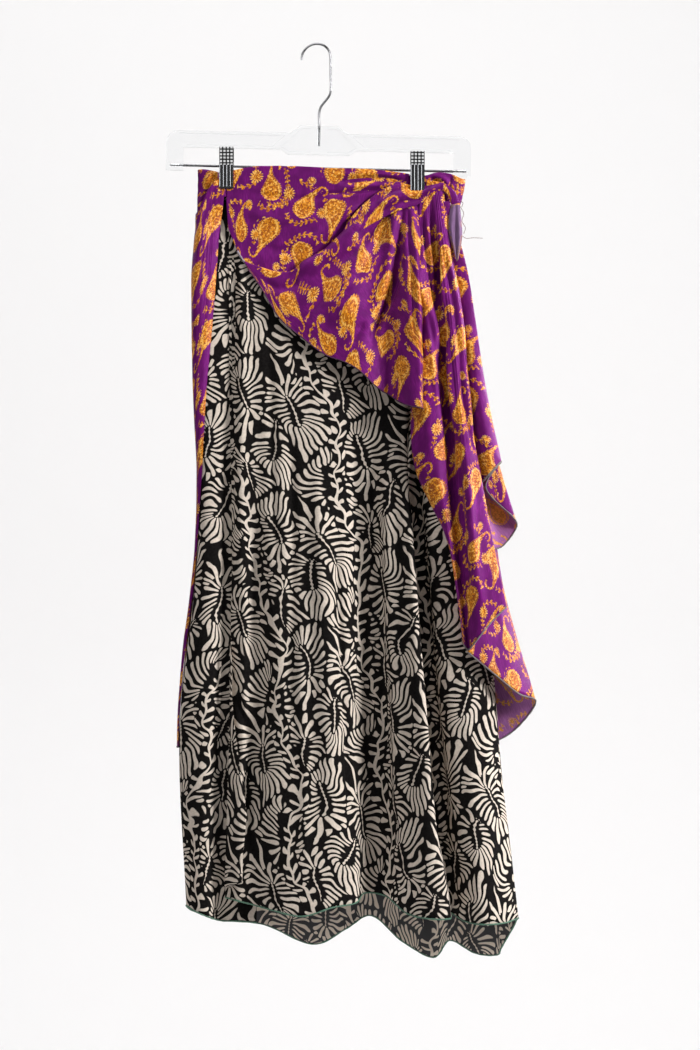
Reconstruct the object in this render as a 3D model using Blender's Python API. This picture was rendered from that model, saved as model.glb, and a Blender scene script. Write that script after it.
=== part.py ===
"""A two-layer wrap skirt clipped flat on a clear hanger.

Metres, +Z up, the front of the skirt towards -Y. The origin is the inside top of the hook's
crook, where a rail carries the hanger. Tables are in millimetres: x to the right, y to the
back, and drop, the distance below the origin.
"""
import math

import bmesh
import bpy
from mathutils import Matrix, Vector

MM = 0.001

# ---------------------------------------------------------------- driving sizes (mm)
WALL = 1.2                # cloth wall
SEAM_GAP = 0.3            # between pieces that touch
LIE = WALL + 0.5          # from a cloth's middle to the middle of the cloth that lies on it

HANGER_LENGTH = 356.0     # 14 inch skirt hanger
HANGER_CENTRE = 3.5       # x of its middle before it tilts
HANGER_TILT = math.radians(1.3)
BODY_DEPTH = 9.0
BODY_WEB = 2.5
BEAM_TOP = 103.5
BEAM_FOOT = 123.0
HUB_TOP = 95.0
HUB_FOOT = 128.7
ARM_WIDTH = 20.0
ARM_FOOT = 150.3
ARM_ROUND = 14.0
ROD_DROP = 144.3
ROD_RADIUS = 1.5
ROD_LENGTH = 346.0
HOOK_RADIUS = 1.4
HOOK_END = 118.0

CLIP_WIDTH = 16.4
CLIP_ABOVE_ROD = 21.8
CLIP_BELOW_ROD = 26.7
CLIP_SHEET = 1.2
CLIP_FLARE = 10.0         # half the spread of the two leaves at the top
CLIP_RIBS = 4
CLIP_RIB_HEIGHT = 0.8
CLIP_STUD_ROWS = 4
SPRING_RADIUS = 3.4
SPRING_WIRE = 1.2

# clip name, x of its middle, y of the cloth's front face and back face in its jaws
CLIPS = (
    ("clip_left", -107.0, -6.6, 6.0),
    ("clip_right", 116.3, -8.6, 6.0),
)

# hook wire, from the tip over the crook and down the stem: x, drop
HOOK_ROUTE = (
    (-19.0, 17.5), (-18.6, 11.5), (-15.8, 6.0), (-11.1, 1.6), (-5.5, -0.9), (0.0, -1.4),
    (6.8, 0.4), (11.7, 4.9), (14.0, 10.5), (14.6, 17.5), (14.7, 36.0), (14.9, 54.0),
    (12.3, 60.8), (7.0, 67.4), (3.3, 72.5), (1.5, 78.4), (1.1, 85.4), (0.9, 100.0),
)

# ---------------------------------------------------------------- fold tables (mm)
# Each row is one fold line from the waist to the hem: name, drop at its top, drop at its
# hem, x at equal stations down it, y at the same stations.
FRONT_FOLDS = (
    ("free edge", 170, 995, (-104, -104, -102, -102, -108), (-2.8, -4, -8, -14, -20)),
    ("edge crest", 170, 998, (-94, -90, -87, -90, -93), (-2.8, -6, -15, -24, -32)),
    ("edge valley", 170, 1002, (-79, -76, -72, -77, -76), (-2.8, -7, -16, -25, -33)),
    ("crest 1 left", 170, 1008, (-56, -50, -44, -47, -48), (-2.8, -9, -23, -37, -50)),
    ("crest 1", 170, 1013, (-30, -20, -13, -15, -17), (-2.8, -10, -26, -42, -58)),
    ("crest 1 right", 170, 1003, (-7, 6, 14, 13, 17), (-2.8, -10, -25, -41, -56)),
    ("crest 1 turn", 170, 999, (12, 27, 33, 30, 43), (-2.8, -8, -20, -34, -47)),
    ("valley 1 left", 170, 990, (28, 43, 51, 50, 55), (-2.8, -6, -12, -16, -19)),
    ("valley 1", 170, 994, (44, 60, 70, 76, 79), (-2.8, -5, -9, -12, -14)),
    ("crest 2 rise", 170, 1011, (57, 74, 90, 98, 104), (-2.8, -8, -20, -34, -48)),
    ("crest 2", 170, 1015, (70, 88, 105, 118, 134), (-2.8, -10, -29, -49, -69)),
    ("crest 2 turn", 170, 1015, (78, 98, 115, 132, 153), (-2.8, -9, -25, -43, -62)),
    ("valley 2", 170, 1012, (87, 103, 117, 132, 152), (-2.8, -4, -7, -11, -17)),
    ("crest 3 rise", 170, 1021, (101, 116, 133, 150, 170), (-2.8, -5, -12, -21, -32)),
    ("crest 3", 170, 1023, (125, 140, 157, 174, 191), (-2.8, -6, -17, -34, -52)),
    ("crest 3 right", 170, 1023, (143, 160, 180, 194, 216), (-2.8, -5, -12, -25, -38)),
    ("side turn", 170, 1020, (153, 174, 194, 210, 234), (-2.3, -3, -5, -9, -13)),
    ("seam turn", 170, 1023, (155, 175, 195, 211, 232), (-1.4, -1.8, -2, -3, -4)),
    ("side seam", 170, 1024, (155, 175, 195, 211, 232), (-0.2, -0.2, -0.2, -0.2, -0.2)),
)
BACK_FOLDS = (
    ("underlap edge", 170, 1026, (-65, -65, -65, -68, -72), (-1.2, -1.6, -2, -3, -4)),
    ("underlap", 170, 1024, (-85, -85, -85, -88, -91), (-1.2, -2.4, -4, -6, -9)),
    ("underlap valley", 170, 1024, (-105, -105, -108, -110, -112), (-1.2, -1.6, -2.5, -4, -6)),
    ("strip crest", 170, 1017, (-118, -118, -122, -128, -129), (-1.2, -4, -10, -17, -24)),
    ("strip left", 170, 1011, (-129, -131, -134, -143, -143), (-1.2, -4, -9, -15, -21)),
    ("left side", 170, 1006, (-135, -138.5, -140, -161, -154), (0.2, 0.2, -1, -3, -5)),
    ("left back", 170, 1014, (-132, -135, -140, -156, -149), (1.6, 4, 7, 12, 16)),
    ("back crest 1", 170, 1028, (-105, -106, -108, -116, -110), (1.6, 7, 16, 26, 34)),
    ("back valley 1", 170, 1031, (-66, -66, -66, -68, -66), (1.6, 5, 11, 18, 22)),
    ("back crest 2", 170, 1058, (-23, -19, -14, -11, -5), (1.6, 9, 22, 36, 48)),
    ("back valley 2", 170, 1036, (14, 20, 26, 28, 33), (1.6, 6, 11, 15, 18)),
    ("back valley 3", 170, 1020, (37, 44, 53, 56, 61), (1.6, 5, 10, 13, 15)),
    ("back rise 3", 170, 1053, (59, 70, 83, 90, 99), (1.6, 7, 17, 27, 36)),
    ("back crest 3", 170, 1074, (77, 94, 110, 122, 137), (1.6, 10, 24, 38, 52)),
    ("back valley 4", 170, 1051, (94, 110, 128, 142, 155), (1.6, 7, 15, 22, 28)),
    ("back crest 4", 170, 1068, (115, 134, 154, 171, 186), (1.6, 8, 20, 31, 42)),
    ("back right", 170, 1068, (136, 156, 176, 190, 211), (1.6, 6, 14, 22, 28)),
    ("right turn", 170, 1058, (151, 171, 191, 204, 215), (1.6, 4, 7, 10, 13)),
    ("seam turn", 170, 1030, (155, 175, 195, 211, 230), (1.0, 1.4, 2, 3, 4)),
    ("side seam", 170, 1024, (155, 175, 195, 211, 232), (0.2, 0.2, 0.2, 0.2, 0.2)),
)
SIDE_FOLDS = (
    ("back flare", 170, 812, (148, 164, 181, 200, 217), (3.3, 6, 10.5, 15, 19)),
    ("side back", 170, 796, (158.5, 175, 194, 215, 237), (1.8, 4, 6, 9, 12)),
    ("outermost", 170, 768, (160, 177, 194, 213, 255), (-1, -1, -1, 0, 0)),
    ("side front", 170, 758, (157, 173, 188, 205, 234), (-3.8, -5.5, -9, -15, -24)),
    ("front", 170, 737, (152, 166, 177, 189, 208), (-4.4, -7.5, -12, -21, -33)),
    ("front edge", 170, 709, (145, 157, 165, 169, 174), (-4.4, -7.5, -14, -26, -38)),
)
CASCADE_FOLDS = (
    ("tucked edge", 184, 690, (124, 117, 119, 122, 158, 169.5), (-13.5, -14, -17.5, -25, -35, -41)),
    ("left edge", 184, 696, (122, 112, 110, 111.5, 154.5, 167.5),
     (-14.5, -17, -23, -32, -41.5, -46.5)),
    ("left crest", 184, 701, (126.5, 121, 125, 150, 169.5), (-16.2, -26, -41, -50, -51)),
    ("left fall", 184, 704, (130.5, 133, 141.5, 156, 171.5), (-16.8, -26, -39, -47.5, -50)),
    ("valley", 184, 706, (133, 140, 151, 161, 174), (-16.6, -22, -33, -42, -47)),
    ("main rise", 184, 702, (136, 146, 157, 166.5, 178), (-16.8, -28, -41, -51, -54)),
    ("main crest", 184, 690, (140, 152, 164, 175.5, 187), (-17.4, -32, -46, -58, -61)),
    ("main right", 184, 674, (143.5, 158, 171, 185, 200), (-17.2, -30, -44, -55, -58)),
    ("right edge", 184, 656, (146.5, 161, 175, 194, 218), (-16, -25.5, -37, -48, -51)),
    ("right tuck", 184, 661, (143, 155, 168, 186, 211), (-15.1, -21.5, -31, -41, -45)),
)
RIPPLE_FOLDS = (
    ("hidden edge", 184, 523, (139, 150, 160, 169, 181), (-12.6, -15.5, -21, -27, -32)),
    ("outer crest", 184, 498, (145, 164, 177, 189, 203), (-12.9, -20, -29, -37, -42)),
    ("right fold", 184, 488, (152, 173, 185, 197, 213), (-12.2, -19, -25.5, -30, -33)),
    ("inner fold", 184, 517, (154.5, 166, 175, 184, 195), (-10.6, -14.6, -19.6, -23, -26)),
    ("under crest", 184, 556, (153, 171, 181, 203, 230), (-9.0, -12, -16, -19, -21)),
    ("under turn", 184, 564, (150.5, 171.5, 182, 204, 231.5), (-8.0, -9.8, -12.5, -15, -16)),
    ("under edge", 184, 587, (147, 164, 174, 190, 214), (-7.6, -8.0, -10.5, -12, -12)),
)

# Each row is one rib of the cloth across its width: name, then the top, middle and foot of
# the rib as x, y, drop.
SWAG_RIBS = (
    ("tip", (-86, -8.4, 255), (-84, -8.4, 258), (-82, -8.4, 262)),
    ("lower 1", (-65, -9.4, 263), (-65, -10.6, 276), (-65, -10.8, 287)),
    ("lower 2", (-45, -10.6, 268), (-45, -13.5, 296), (-44, -13.8, 321)),
    ("lower 3", (-27, -11.5, 266), (-22, -16, 306), (-17, -16.5, 344)),
    ("belly 1", (-10, -12, 256), (-1, -19, 310), (8, -20, 363)),
    ("belly 2", (13, -12, 243), (23, -21, 308), (34, -24, 373)),
    ("belly 3", (32, -11, 224), (42, -21, 306), (51, -26, 384)),
    ("belly 4", (46, -10, 211), (56, -19, 305), (65, -25, 398)),
    ("valley left", (61, -9, 192), (70, -16, 299), (75, -22, 406)),
    ("valley", (79, -8, 174), (84, -16, 299), (83, -22, 410)),
    ("crest rise", (93, -7.5, 163), (98, -25, 300), (95, -34, 419)),
    ("crest", (103, -7.5, 167), (111, -32, 300), (108, -44, 424)),
    ("crest right", (112, -8, 175), (118, -31, 300), (120, -47, 426)),
)
UPPER_RIBS = (
    ("left edge", (-107, -4.4, 170), (-107, -4.9, 190), (-105, -5.6, 215)),
    ("left", (-96, -4.4, 170), (-95, -5.2, 209), (-91, -6.2, 247)),
    ("tip side", (-79, -4.4, 170), (-78, -5.4, 217), (-76, -6.8, 265)),
    ("low 1", (-56, -4.4, 170), (-56, -5.6, 226), (-55, -7.4, 280)),
    ("low 2", (-33, -4.4, 170), (-33, -5.8, 226), (-33, -8, 283)),
    ("low 3", (-9, -4.4, 170), (-9, -5.8, 222), (-10, -8, 273)),
    ("rise 1", (14, -4.4, 170), (13, -5.6, 213), (12, -7.2, 257)),
    ("rise 2", (37, -4.4, 170), (36, -5.4, 204), (34, -6.4, 238)),
    ("rise 3", (61, -4.4, 170), (58, -5, 191), (56, -5.6, 212)),
    ("right", (84, -4.4, 170), (82, -4.6, 182), (78, -4.8, 193)),
)
TIE_END_RIBS = (
    ("left", (157, -12.8, 190), (153, -20, 217), (158, -26, 249)),
    ("middle", (160, -13.2, 191), (161, -22, 220), (161, -28, 252)),
    ("right", (164, -12.8, 191), (169, -20, 224), (165, -26, 251)),
)

# Each row is one upright of the waistband: name, x, drop of its top, drop of its foot, y.
BAND_FRONT = (
    ("left end", -116, 149, 176, -6),
    ("left clip", -98, 148, 180, -6),
    ("rise", -84, 144, 178, -6),
    ("flat 1", -50, 143, 178, -6),
    ("flat 2", -15, 144, 178, -6),
    ("flat 3", 20, 146, 178, -6),
    ("flat 4", 51, 146, 178, -6),
    ("dip", 82, 149, 180, -6),
    ("right clip", 109, 153, 180, -6),
    ("right clip out", 126, 153, 181, -6),
    ("peak", 138, 150, 183, -6),
    ("end 1", 154, 151, 188, -6),
    ("end 2", 167, 156.5, 190, -5.4),
    ("end turn", 171.5, 157.5, 186, -2.6),
    ("end seam", 172, 157.5, 185, -0.2),
)
BAND_BACK = (
    ("end seam", 172, 157.5, 185, 0.2),
    ("end turn", 171.5, 157.5, 186, 2.6),
    ("end 1", 162, 157, 190, 5.0),
    ("peak", 142, 152, 184, 5.4),
    ("right clip", 116, 153, 180, 5.4),
    ("flat 4", 51, 149, 178, 5.4),
    ("flat 2", -15, 149, 178, 5.4),
    ("rise", -84, 149, 178, 5.4),
    ("left clip", -107, 150, 178, 5.4),
    ("left turn in", -122, 148, 170, 5.5),
    ("left back", -134, 147, 168, 4.6),
    ("left turn", -141, 147, 168, 0.2),
    ("left front", -134, 146, 168, -4.0),
    ("left end", -119, 149, 168, -4.4),
)

# The purple cloth at the left lies over the black one. Each row: part of its length, the
# fold number of BACK_FOLDS under its front edge, and how far it stands off there at the
# front edge, in the middle, at its outer edge and at the side seam.
LEFT_FOLD = (
    (0.00, 2.30, 3.1, 3.6, 4.6, 2.8),
    (0.03, 2.45, 3.1, 3.6, 5.0, 2.8),
    (0.08, 2.80, 3.1, 6.0, 11.5, 3.4),
    (0.15, 3.05, 2.6, 6.0, 12.0, 3.6),
    (0.35, 3.86, 2.0, 4.0, 6.2, 3.0),
    (0.50, 4.30, 2.0, 2.2, 2.6, 2.4),
    (0.65, 5.10, 2.0, 2.4, 2.8, 2.2),
    (0.80, 5.10, 2.4, 4.0, 4.6, 3.4),
    (1.00, 5.10, 1.8, 2.2, 2.6, 3.0),
)
SIDE_SEAM = 5.6           # fold number of the left side seam
BACK_START = 5.68         # fold number at which the purple back begins
BACK_END = 16.0
# How far the purple back bridges each black valley at its hem: fold number, extra mm.
BACK_BRIDGES = ((5.6, 0), (7, 0), (8, 5), (9, 0), (10, 8), (11, 9), (12, 4), (13, 0),
                (14, 7), (15, 0), (16, 1))
BACK_HEM = 822.0

# Turned-back corner of the black front: part of the front's length, width in fold numbers.
CORNER = ((0.640, 0.22), (0.718, 0.35), (0.835, 1.25), (0.877, 1.60), (0.937, 1.30),
          (0.972, 1.30), (0.984, 0.50))

LOOP_ROUTE = ((127, -7.8, 164), (137, -9.5, 165), (148, -11, 168), (157, -12, 177),
              (160.5, -12.6, 187))
LOOP_WIDTH = 9.0
KNOT_CENTRE = (131.5, -12.4, 179.0)
KNOT_RADII = (16.5, 5.6, 4.4)

COLOURS = {
    # name: colour, roughness, metallic
    "purple_silk": ((0.17, 0.02, 0.20), 0.45, 0.0),
    "leaf_print": ((0.12, 0.11, 0.10), 0.80, 0.0),
    "clear_plastic": ((0.86, 0.88, 0.90), 0.10, 0.0),
    "steel": ((0.45, 0.45, 0.46), 0.25, 1.0),
    "chrome": ((0.75, 0.75, 0.77), 0.12, 1.0),
}


# ---------------------------------------------------------------- helpers
def start_empty():
    """Remove whatever the file holds."""
    for old in list(bpy.data.objects):
        bpy.data.objects.remove(old, do_unlink=True)


def material(name):
    """The Principled material of that name, made once."""
    made = bpy.data.materials.get(name)
    if made:
        return made
    colour, roughness, metallic = COLOURS[name]
    made = bpy.data.materials.new(name)
    made.use_nodes = True
    shader = made.node_tree.nodes["Principled BSDF"]
    shader.inputs["Base Color"].default_value = (*colour, 1.0)
    shader.inputs["Roughness"].default_value = roughness
    shader.inputs["Metallic"].default_value = metallic
    return made


def add_object(name, mesh, finish):
    """Put a mesh in the scene as an object with its own material."""
    made = bpy.data.objects.new(name, mesh)
    bpy.context.scene.collection.objects.link(made)
    made.data.materials.append(material(finish))
    return made


def place(x, y, drop):
    """A point in metres from x, y and the drop below the origin in millimetres."""
    return Vector((x, y, -drop)) * MM


def smooth_path(points, at):
    """A point on the smooth curve through the points; at counts them from 0."""
    last = len(points) - 1
    at = min(max(at, 0.0), float(last))
    first = min(int(at), last - 1)
    part = at - first
    near, far = points[first], points[first + 1]
    before = points[first - 1] if first > 0 else near * 2 - far
    after = points[first + 2] if first + 2 <= last else far * 2 - near
    # steps by the square root of the distance keep the curve from overshooting
    step_in = max((near - before).length, 1e-9) ** 0.5
    step = max((far - near).length, 1e-9) ** 0.5
    step_out = max((after - far).length, 1e-9) ** 0.5
    slope_near = ((near - before) / step_in - (far - before) / (step_in + step)
                  + (far - near) / step) * step
    slope_far = ((far - near) / step - (after - near) / (step + step_out)
                 + (after - far) / step_out) * step
    square, cube = part * part, part * part * part
    return (near * (2 * cube - 3 * square + 1) + slope_near * (cube - 2 * square + part)
            + far * (3 * square - 2 * cube) + slope_far * (cube - square))


def between(rows, at, column=1):
    """Straight interpolation in a table whose rows start with their position."""
    if at <= rows[0][0]:
        return rows[0][column]
    for low, high in zip(rows, rows[1:]):
        if at <= high[0]:
            part = (at - low[0]) / (high[0] - low[0])
            return low[column] + (high[column] - low[column]) * part
    return rows[-1][column]


def fold_lines(table):
    """The stations of each fold line as points."""
    lines = []
    for _, top, hem, xs, ys in table:
        last = len(xs) - 1
        lines.append([place(x, y, top + (hem - top) * step / last)
                      for step, (x, y) in enumerate(zip(xs, ys))])
    return lines


def rib_lines(table):
    """The top, middle and foot of each rib as points."""
    return [[place(*point) for point in row[1:]] for row in table]


def band_lines(table):
    """The top and foot of each upright of the waistband as points."""
    return [[place(x, y, top), place(x, y, foot)] for _, x, top, foot, y in table]


def cloth_point(lines, fold, down):
    """A point of the cloth: fold counts its lines from 0, down runs 0 to 1."""
    row = [smooth_path(line, down * (len(line) - 1)) for line in lines]
    return smooth_path(row, fold)


def lifted(lines, fold, down, lift, side=1.0):
    """A point moved out from the cloth by lift millimetres, square to it."""
    tiny = 0.01
    across = (cloth_point(lines, min(fold + tiny, len(lines) - 1), down)
              - cloth_point(lines, max(fold - tiny, 0.0), down))
    along = (cloth_point(lines, fold, min(down + tiny, 1.0))
             - cloth_point(lines, fold, max(down - tiny, 0.0)))
    out = across.cross(along).normalized() * side
    return cloth_point(lines, fold, down) + out * (lift * MM)


def cloth_sheet(name, finish, surface, columns, rows, wall=WALL):
    """A cloth wall over surface(across, down), both from 0 to 1."""
    bm = bmesh.new()
    bmesh.ops.create_grid(bm, x_segments=columns, y_segments=rows, size=0.5)
    for vert in bm.verts:
        vert.co = surface(vert.co.x + 0.5, 0.5 - vert.co.y)
    mesh = bpy.data.meshes.new(name)
    bm.to_mesh(mesh)
    bm.free()
    mesh.shade_smooth()
    made = add_object(name, mesh, finish)
    thick = made.modifiers.new("wall", "SOLIDIFY")
    thick.thickness = wall * MM
    thick.offset = 0.0
    return made


def sheet_from_lines(name, finish, lines, per_fold, rows, wall=WALL):
    """A cloth wall through its own fold lines."""
    folds = len(lines) - 1
    return cloth_sheet(name, finish, lambda across, down: cloth_point(lines, across * folds, down),
                       folds * per_fold, rows, wall)


def boolean(target, cutter, operation):
    """Join or cut with a guide that is left out of the model."""
    step = target.modifiers.new(operation.lower(), "BOOLEAN")
    step.operation = operation
    step.solver = "EXACT"
    step.object = cutter
    cutter.hide_render = True
    cutter.display_type = "WIRE"


def guide(name, mesh):
    """An object that only serves as a cutter or a block to join."""
    made = bpy.data.objects.new(name, mesh)
    bpy.context.scene.collection.objects.link(made)
    made.hide_render = True
    made.display_type = "WIRE"
    return made


def block_mesh(name, low, high):
    """A box between two corners in millimetres (x, y, z)."""
    bm = bmesh.new()
    bmesh.ops.create_cube(bm, size=1.0)
    size = [b - a for a, b in zip(low, high)]
    middle = [(a + b) / 2 for a, b in zip(low, high)]
    bmesh.ops.scale(bm, vec=Vector(size) * MM, verts=bm.verts)
    bmesh.ops.translate(bm, vec=Vector(middle) * MM, verts=bm.verts)
    mesh = bpy.data.meshes.new(name)
    bm.to_mesh(mesh)
    bm.free()
    return mesh


def rod_mesh(name, radius, start, end, sides):
    """A cylinder between two points in millimetres (x, y, z)."""
    start, end = Vector(start) * MM, Vector(end) * MM
    axis = end - start
    turn = Vector((0, 0, 1)).rotation_difference(axis).to_matrix().to_4x4()
    bm = bmesh.new()
    bmesh.ops.create_cone(bm, cap_ends=True, segments=sides, radius1=radius * MM,
                          radius2=radius * MM, depth=axis.length,
                          matrix=Matrix.Translation((start + end) / 2) @ turn)
    mesh = bpy.data.meshes.new(name)
    bm.to_mesh(mesh)
    bm.free()
    mesh.shade_smooth()
    mesh.set_sharp_from_angle(angle=math.radians(40))
    return mesh


def plate_mesh(name, outline, y_front, y_back):
    """A flat plate with the outline (x, drop in mm), between two y values."""
    bm = bmesh.new()
    face = bm.faces.new([bm.verts.new(place(x, y_front, drop)) for x, drop in outline])
    sweep = bmesh.ops.extrude_face_region(bm, geom=[face])
    moved = [item for item in sweep["geom"] if isinstance(item, bmesh.types.BMVert)]
    bmesh.ops.translate(bm, vec=(0, (y_back - y_front) * MM, 0), verts=moved)
    bmesh.ops.recalc_face_normals(bm, faces=bm.faces)
    mesh = bpy.data.meshes.new(name)
    bm.to_mesh(mesh)
    bm.free()
    return mesh


# ---------------------------------------------------------------- hanger
def tilt_pivot():
    """The empty at the hook's crook that gives the hanger its slight tilt."""
    pivot = bpy.data.objects.new("hanger_tilt", None)
    bpy.context.scene.collection.objects.link(pivot)
    pivot.rotation_euler = (0.0, HANGER_TILT, 0.0)
    return pivot


def body_outline():
    """Front outline of the clear body: beam, hub and two end arms."""
    half = HANGER_LENGTH / 2
    hub_top, hub_root, hub_foot = 22.0, 33.0, 36.0
    right = [(hub_top, HUB_TOP), (hub_root, BEAM_TOP)]
    for step in range(5):
        angle = math.radians(90 - 22.5 * step)
        right.append((half - ARM_ROUND + ARM_ROUND * math.cos(angle),
                      BEAM_TOP + ARM_ROUND - ARM_ROUND * math.sin(angle)))
    right += [(half, ARM_FOOT), (half - ARM_WIDTH, ARM_FOOT), (half - ARM_WIDTH, BEAM_FOOT),
              (hub_foot + 8, BEAM_FOOT), (hub_foot, HUB_FOOT)]
    left = [(-x, drop) for x, drop in reversed(right)]
    return [(HANGER_CENTRE + x, drop) for x, drop in right + left]


def make_hanger_body(pivot):
    """Clear plastic body: a web with thicker rims, a bored boss and bored arms."""
    half = HANGER_LENGTH / 2
    deep = BODY_DEPTH / 2
    body = add_object("hanger_body", plate_mesh("hanger_body", body_outline(), -deep, deep),
                      "clear_plastic")
    rim = 3.2
    pocket = [(40.0, BEAM_TOP + rim), (half - 14.0, BEAM_TOP + rim),
              (half - ARM_WIDTH - 4.0, BEAM_FOOT - rim), (54.0, BEAM_FOOT - rim)]
    hub_pocket = [(10.0, HUB_TOP + rim), (20.0, HUB_TOP + rim), (44.0, BEAM_FOOT - rim),
                  (34.0, HUB_FOOT - rim), (10.0, HUB_FOOT - rim)]
    for shape_name, shape in (("arm", pocket), ("hub", hub_pocket)):
        for side_name, side in (("left", -1), ("right", 1)):
            outline = [(HANGER_CENTRE + side * x, drop) for x, drop in shape]
            for face_name, y_near, y_far in (("front", -deep - 1, -BODY_WEB / 2),
                                             ("back", BODY_WEB / 2, deep + 1)):
                name = f"cut_{shape_name}_{side_name}_{face_name}"
                cutter = guide(name, plate_mesh(name, outline, y_near, y_far))
                cutter.parent = pivot
                boolean(body, cutter, "DIFFERENCE")
    bores = (
        ("cut_hook_bore", HOOK_RADIUS + SEAM_GAP, (HANGER_CENTRE, 0, -HUB_TOP + 1),
         (HANGER_CENTRE, 0, -HOOK_END - 0.5)),
        ("cut_rod_left", ROD_RADIUS + SEAM_GAP, (HANGER_CENTRE - ROD_LENGTH / 2 - 0.5, 0, -ROD_DROP),
         (HANGER_CENTRE - half + ARM_WIDTH + 1, 0, -ROD_DROP)),
        ("cut_rod_right", ROD_RADIUS + SEAM_GAP, (HANGER_CENTRE + half - ARM_WIDTH - 1, 0, -ROD_DROP),
         (HANGER_CENTRE + ROD_LENGTH / 2 + 0.5, 0, -ROD_DROP)),
    )
    for name, radius, start, end in bores:
        cutter = guide(name, rod_mesh(name, radius, start, end, 12))
        cutter.parent = pivot
        boolean(body, cutter, "DIFFERENCE")
    body.parent = pivot


def make_hook():
    """Steel wire hook on one smooth route, its stem down inside the boss."""
    stem = (HANGER_CENTRE - HOOK_END * math.sin(HANGER_TILT), HOOK_END * math.cos(HANGER_TILT))
    neck = (HANGER_CENTRE - HUB_TOP * math.sin(HANGER_TILT), HUB_TOP * math.cos(HANGER_TILT))
    route = [place(x, 0, drop) for x, drop in HOOK_ROUTE[:-1] + (neck, stem)]
    samples = 2 * (len(route) - 1)
    curve = bpy.data.curves.new("hanger_hook", "CURVE")
    curve.dimensions = "3D"
    curve.bevel_depth = HOOK_RADIUS * MM
    curve.bevel_resolution = 2
    curve.use_fill_caps = True
    spline = curve.splines.new("POLY")
    spline.points.add(samples)
    for index in range(samples + 1):
        at = index * (len(route) - 1) / samples
        spline.points[index].co = (*smooth_path(route, at), 1.0)
    made = bpy.data.objects.new("hanger_hook", curve)
    bpy.context.scene.collection.objects.link(made)
    made.data.materials.append(material("steel"))


def make_rod(pivot):
    """Steel rod between the arms, on which the clips slide."""
    half = ROD_LENGTH / 2
    mesh = rod_mesh("hanger_rod", ROD_RADIUS, (HANGER_CENTRE - half, 0, -ROD_DROP),
                    (HANGER_CENTRE + half, 0, -ROD_DROP), 12)
    add_object("hanger_rod", mesh, "steel").parent = pivot


def rod_drop_at(x):
    """Drop of the tilted rod's middle at a given x."""
    level = ROD_DROP * math.cos(HANGER_TILT)
    return level + math.tan(HANGER_TILT) * (x + ROD_DROP * math.sin(HANGER_TILT))


def rib_steps():
    """Across a leaf: place from its left edge and whether it is on a rib."""
    pitch = CLIP_WIDTH / CLIP_RIBS
    land, slope = 0.75, 0.3
    steps = [(0.0, 0)]
    for rib in range(CLIP_RIBS):
        left = rib * pitch
        steps += [(left + land - slope, 0), (left + land, 1), (left + pitch - land, 1),
                  (left + pitch - land + slope, 0)]
    return steps + [(CLIP_WIDTH, 0)]


def stud_steps():
    """Down a leaf: place from its top and whether a rib stands there."""
    pitch, groove, slope = 3.5, 0.6, 0.3
    steps = [(0.0, 1)]
    for row in range(CLIP_STUD_ROWS):
        foot = (row + 1) * pitch
        steps += [(foot - slope, 1), (foot, 0), (foot + groove, 0), (foot + groove + slope, 1)]
    plain_lip = CLIP_ABOVE_ROD + CLIP_BELOW_ROD - 2.0
    return steps + [(plain_lip - slope, 1), (plain_lip, 0), (CLIP_ABOVE_ROD + CLIP_BELOW_ROD, 0)]


def leaf_mesh(name, middle_x, top, y_top, y_foot, outward):
    """One ribbed leaf of a clip: ribs outside, a plain inner face, leaning in to the jaw."""
    across, down = rib_steps(), stud_steps()
    length = down[-1][0]
    bm = bmesh.new()
    bmesh.ops.create_grid(bm, x_segments=len(across) - 1, y_segments=len(down) - 1, size=0.5)
    outer = list(bm.faces)
    inner_y = {}
    for vert in bm.verts:
        column = round((vert.co.x + 0.5) * (len(across) - 1))
        row = round((0.5 - vert.co.y) * (len(down) - 1))
        x, on_rib = across[column]
        depth, stands = down[row]
        inner = y_top + (y_foot - y_top) * depth / length
        thick = CLIP_SHEET + CLIP_RIB_HEIGHT * on_rib * stands
        vert.co = place(middle_x - CLIP_WIDTH / 2 + x, inner + outward * thick, top + depth)
        inner_y[vert] = inner
    inner_of = {(round(vert.co.x, 6), round(vert.co.z, 6)): y for vert, y in inner_y.items()}
    sweep = bmesh.ops.extrude_face_region(bm, geom=outer)
    for item in sweep["geom"]:
        if isinstance(item, bmesh.types.BMVert):
            item.co.y = inner_of[(round(item.co.x, 6), round(item.co.z, 6))] * MM
    bmesh.ops.recalc_face_normals(bm, faces=bm.faces)
    bmesh.ops.dissolve_limit(bm, angle_limit=math.radians(0.5), use_dissolve_boundaries=True,
                             verts=bm.verts, edges=bm.edges)
    mesh = bpy.data.meshes.new(name)
    bm.to_mesh(mesh)
    bm.free()
    return mesh


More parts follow.
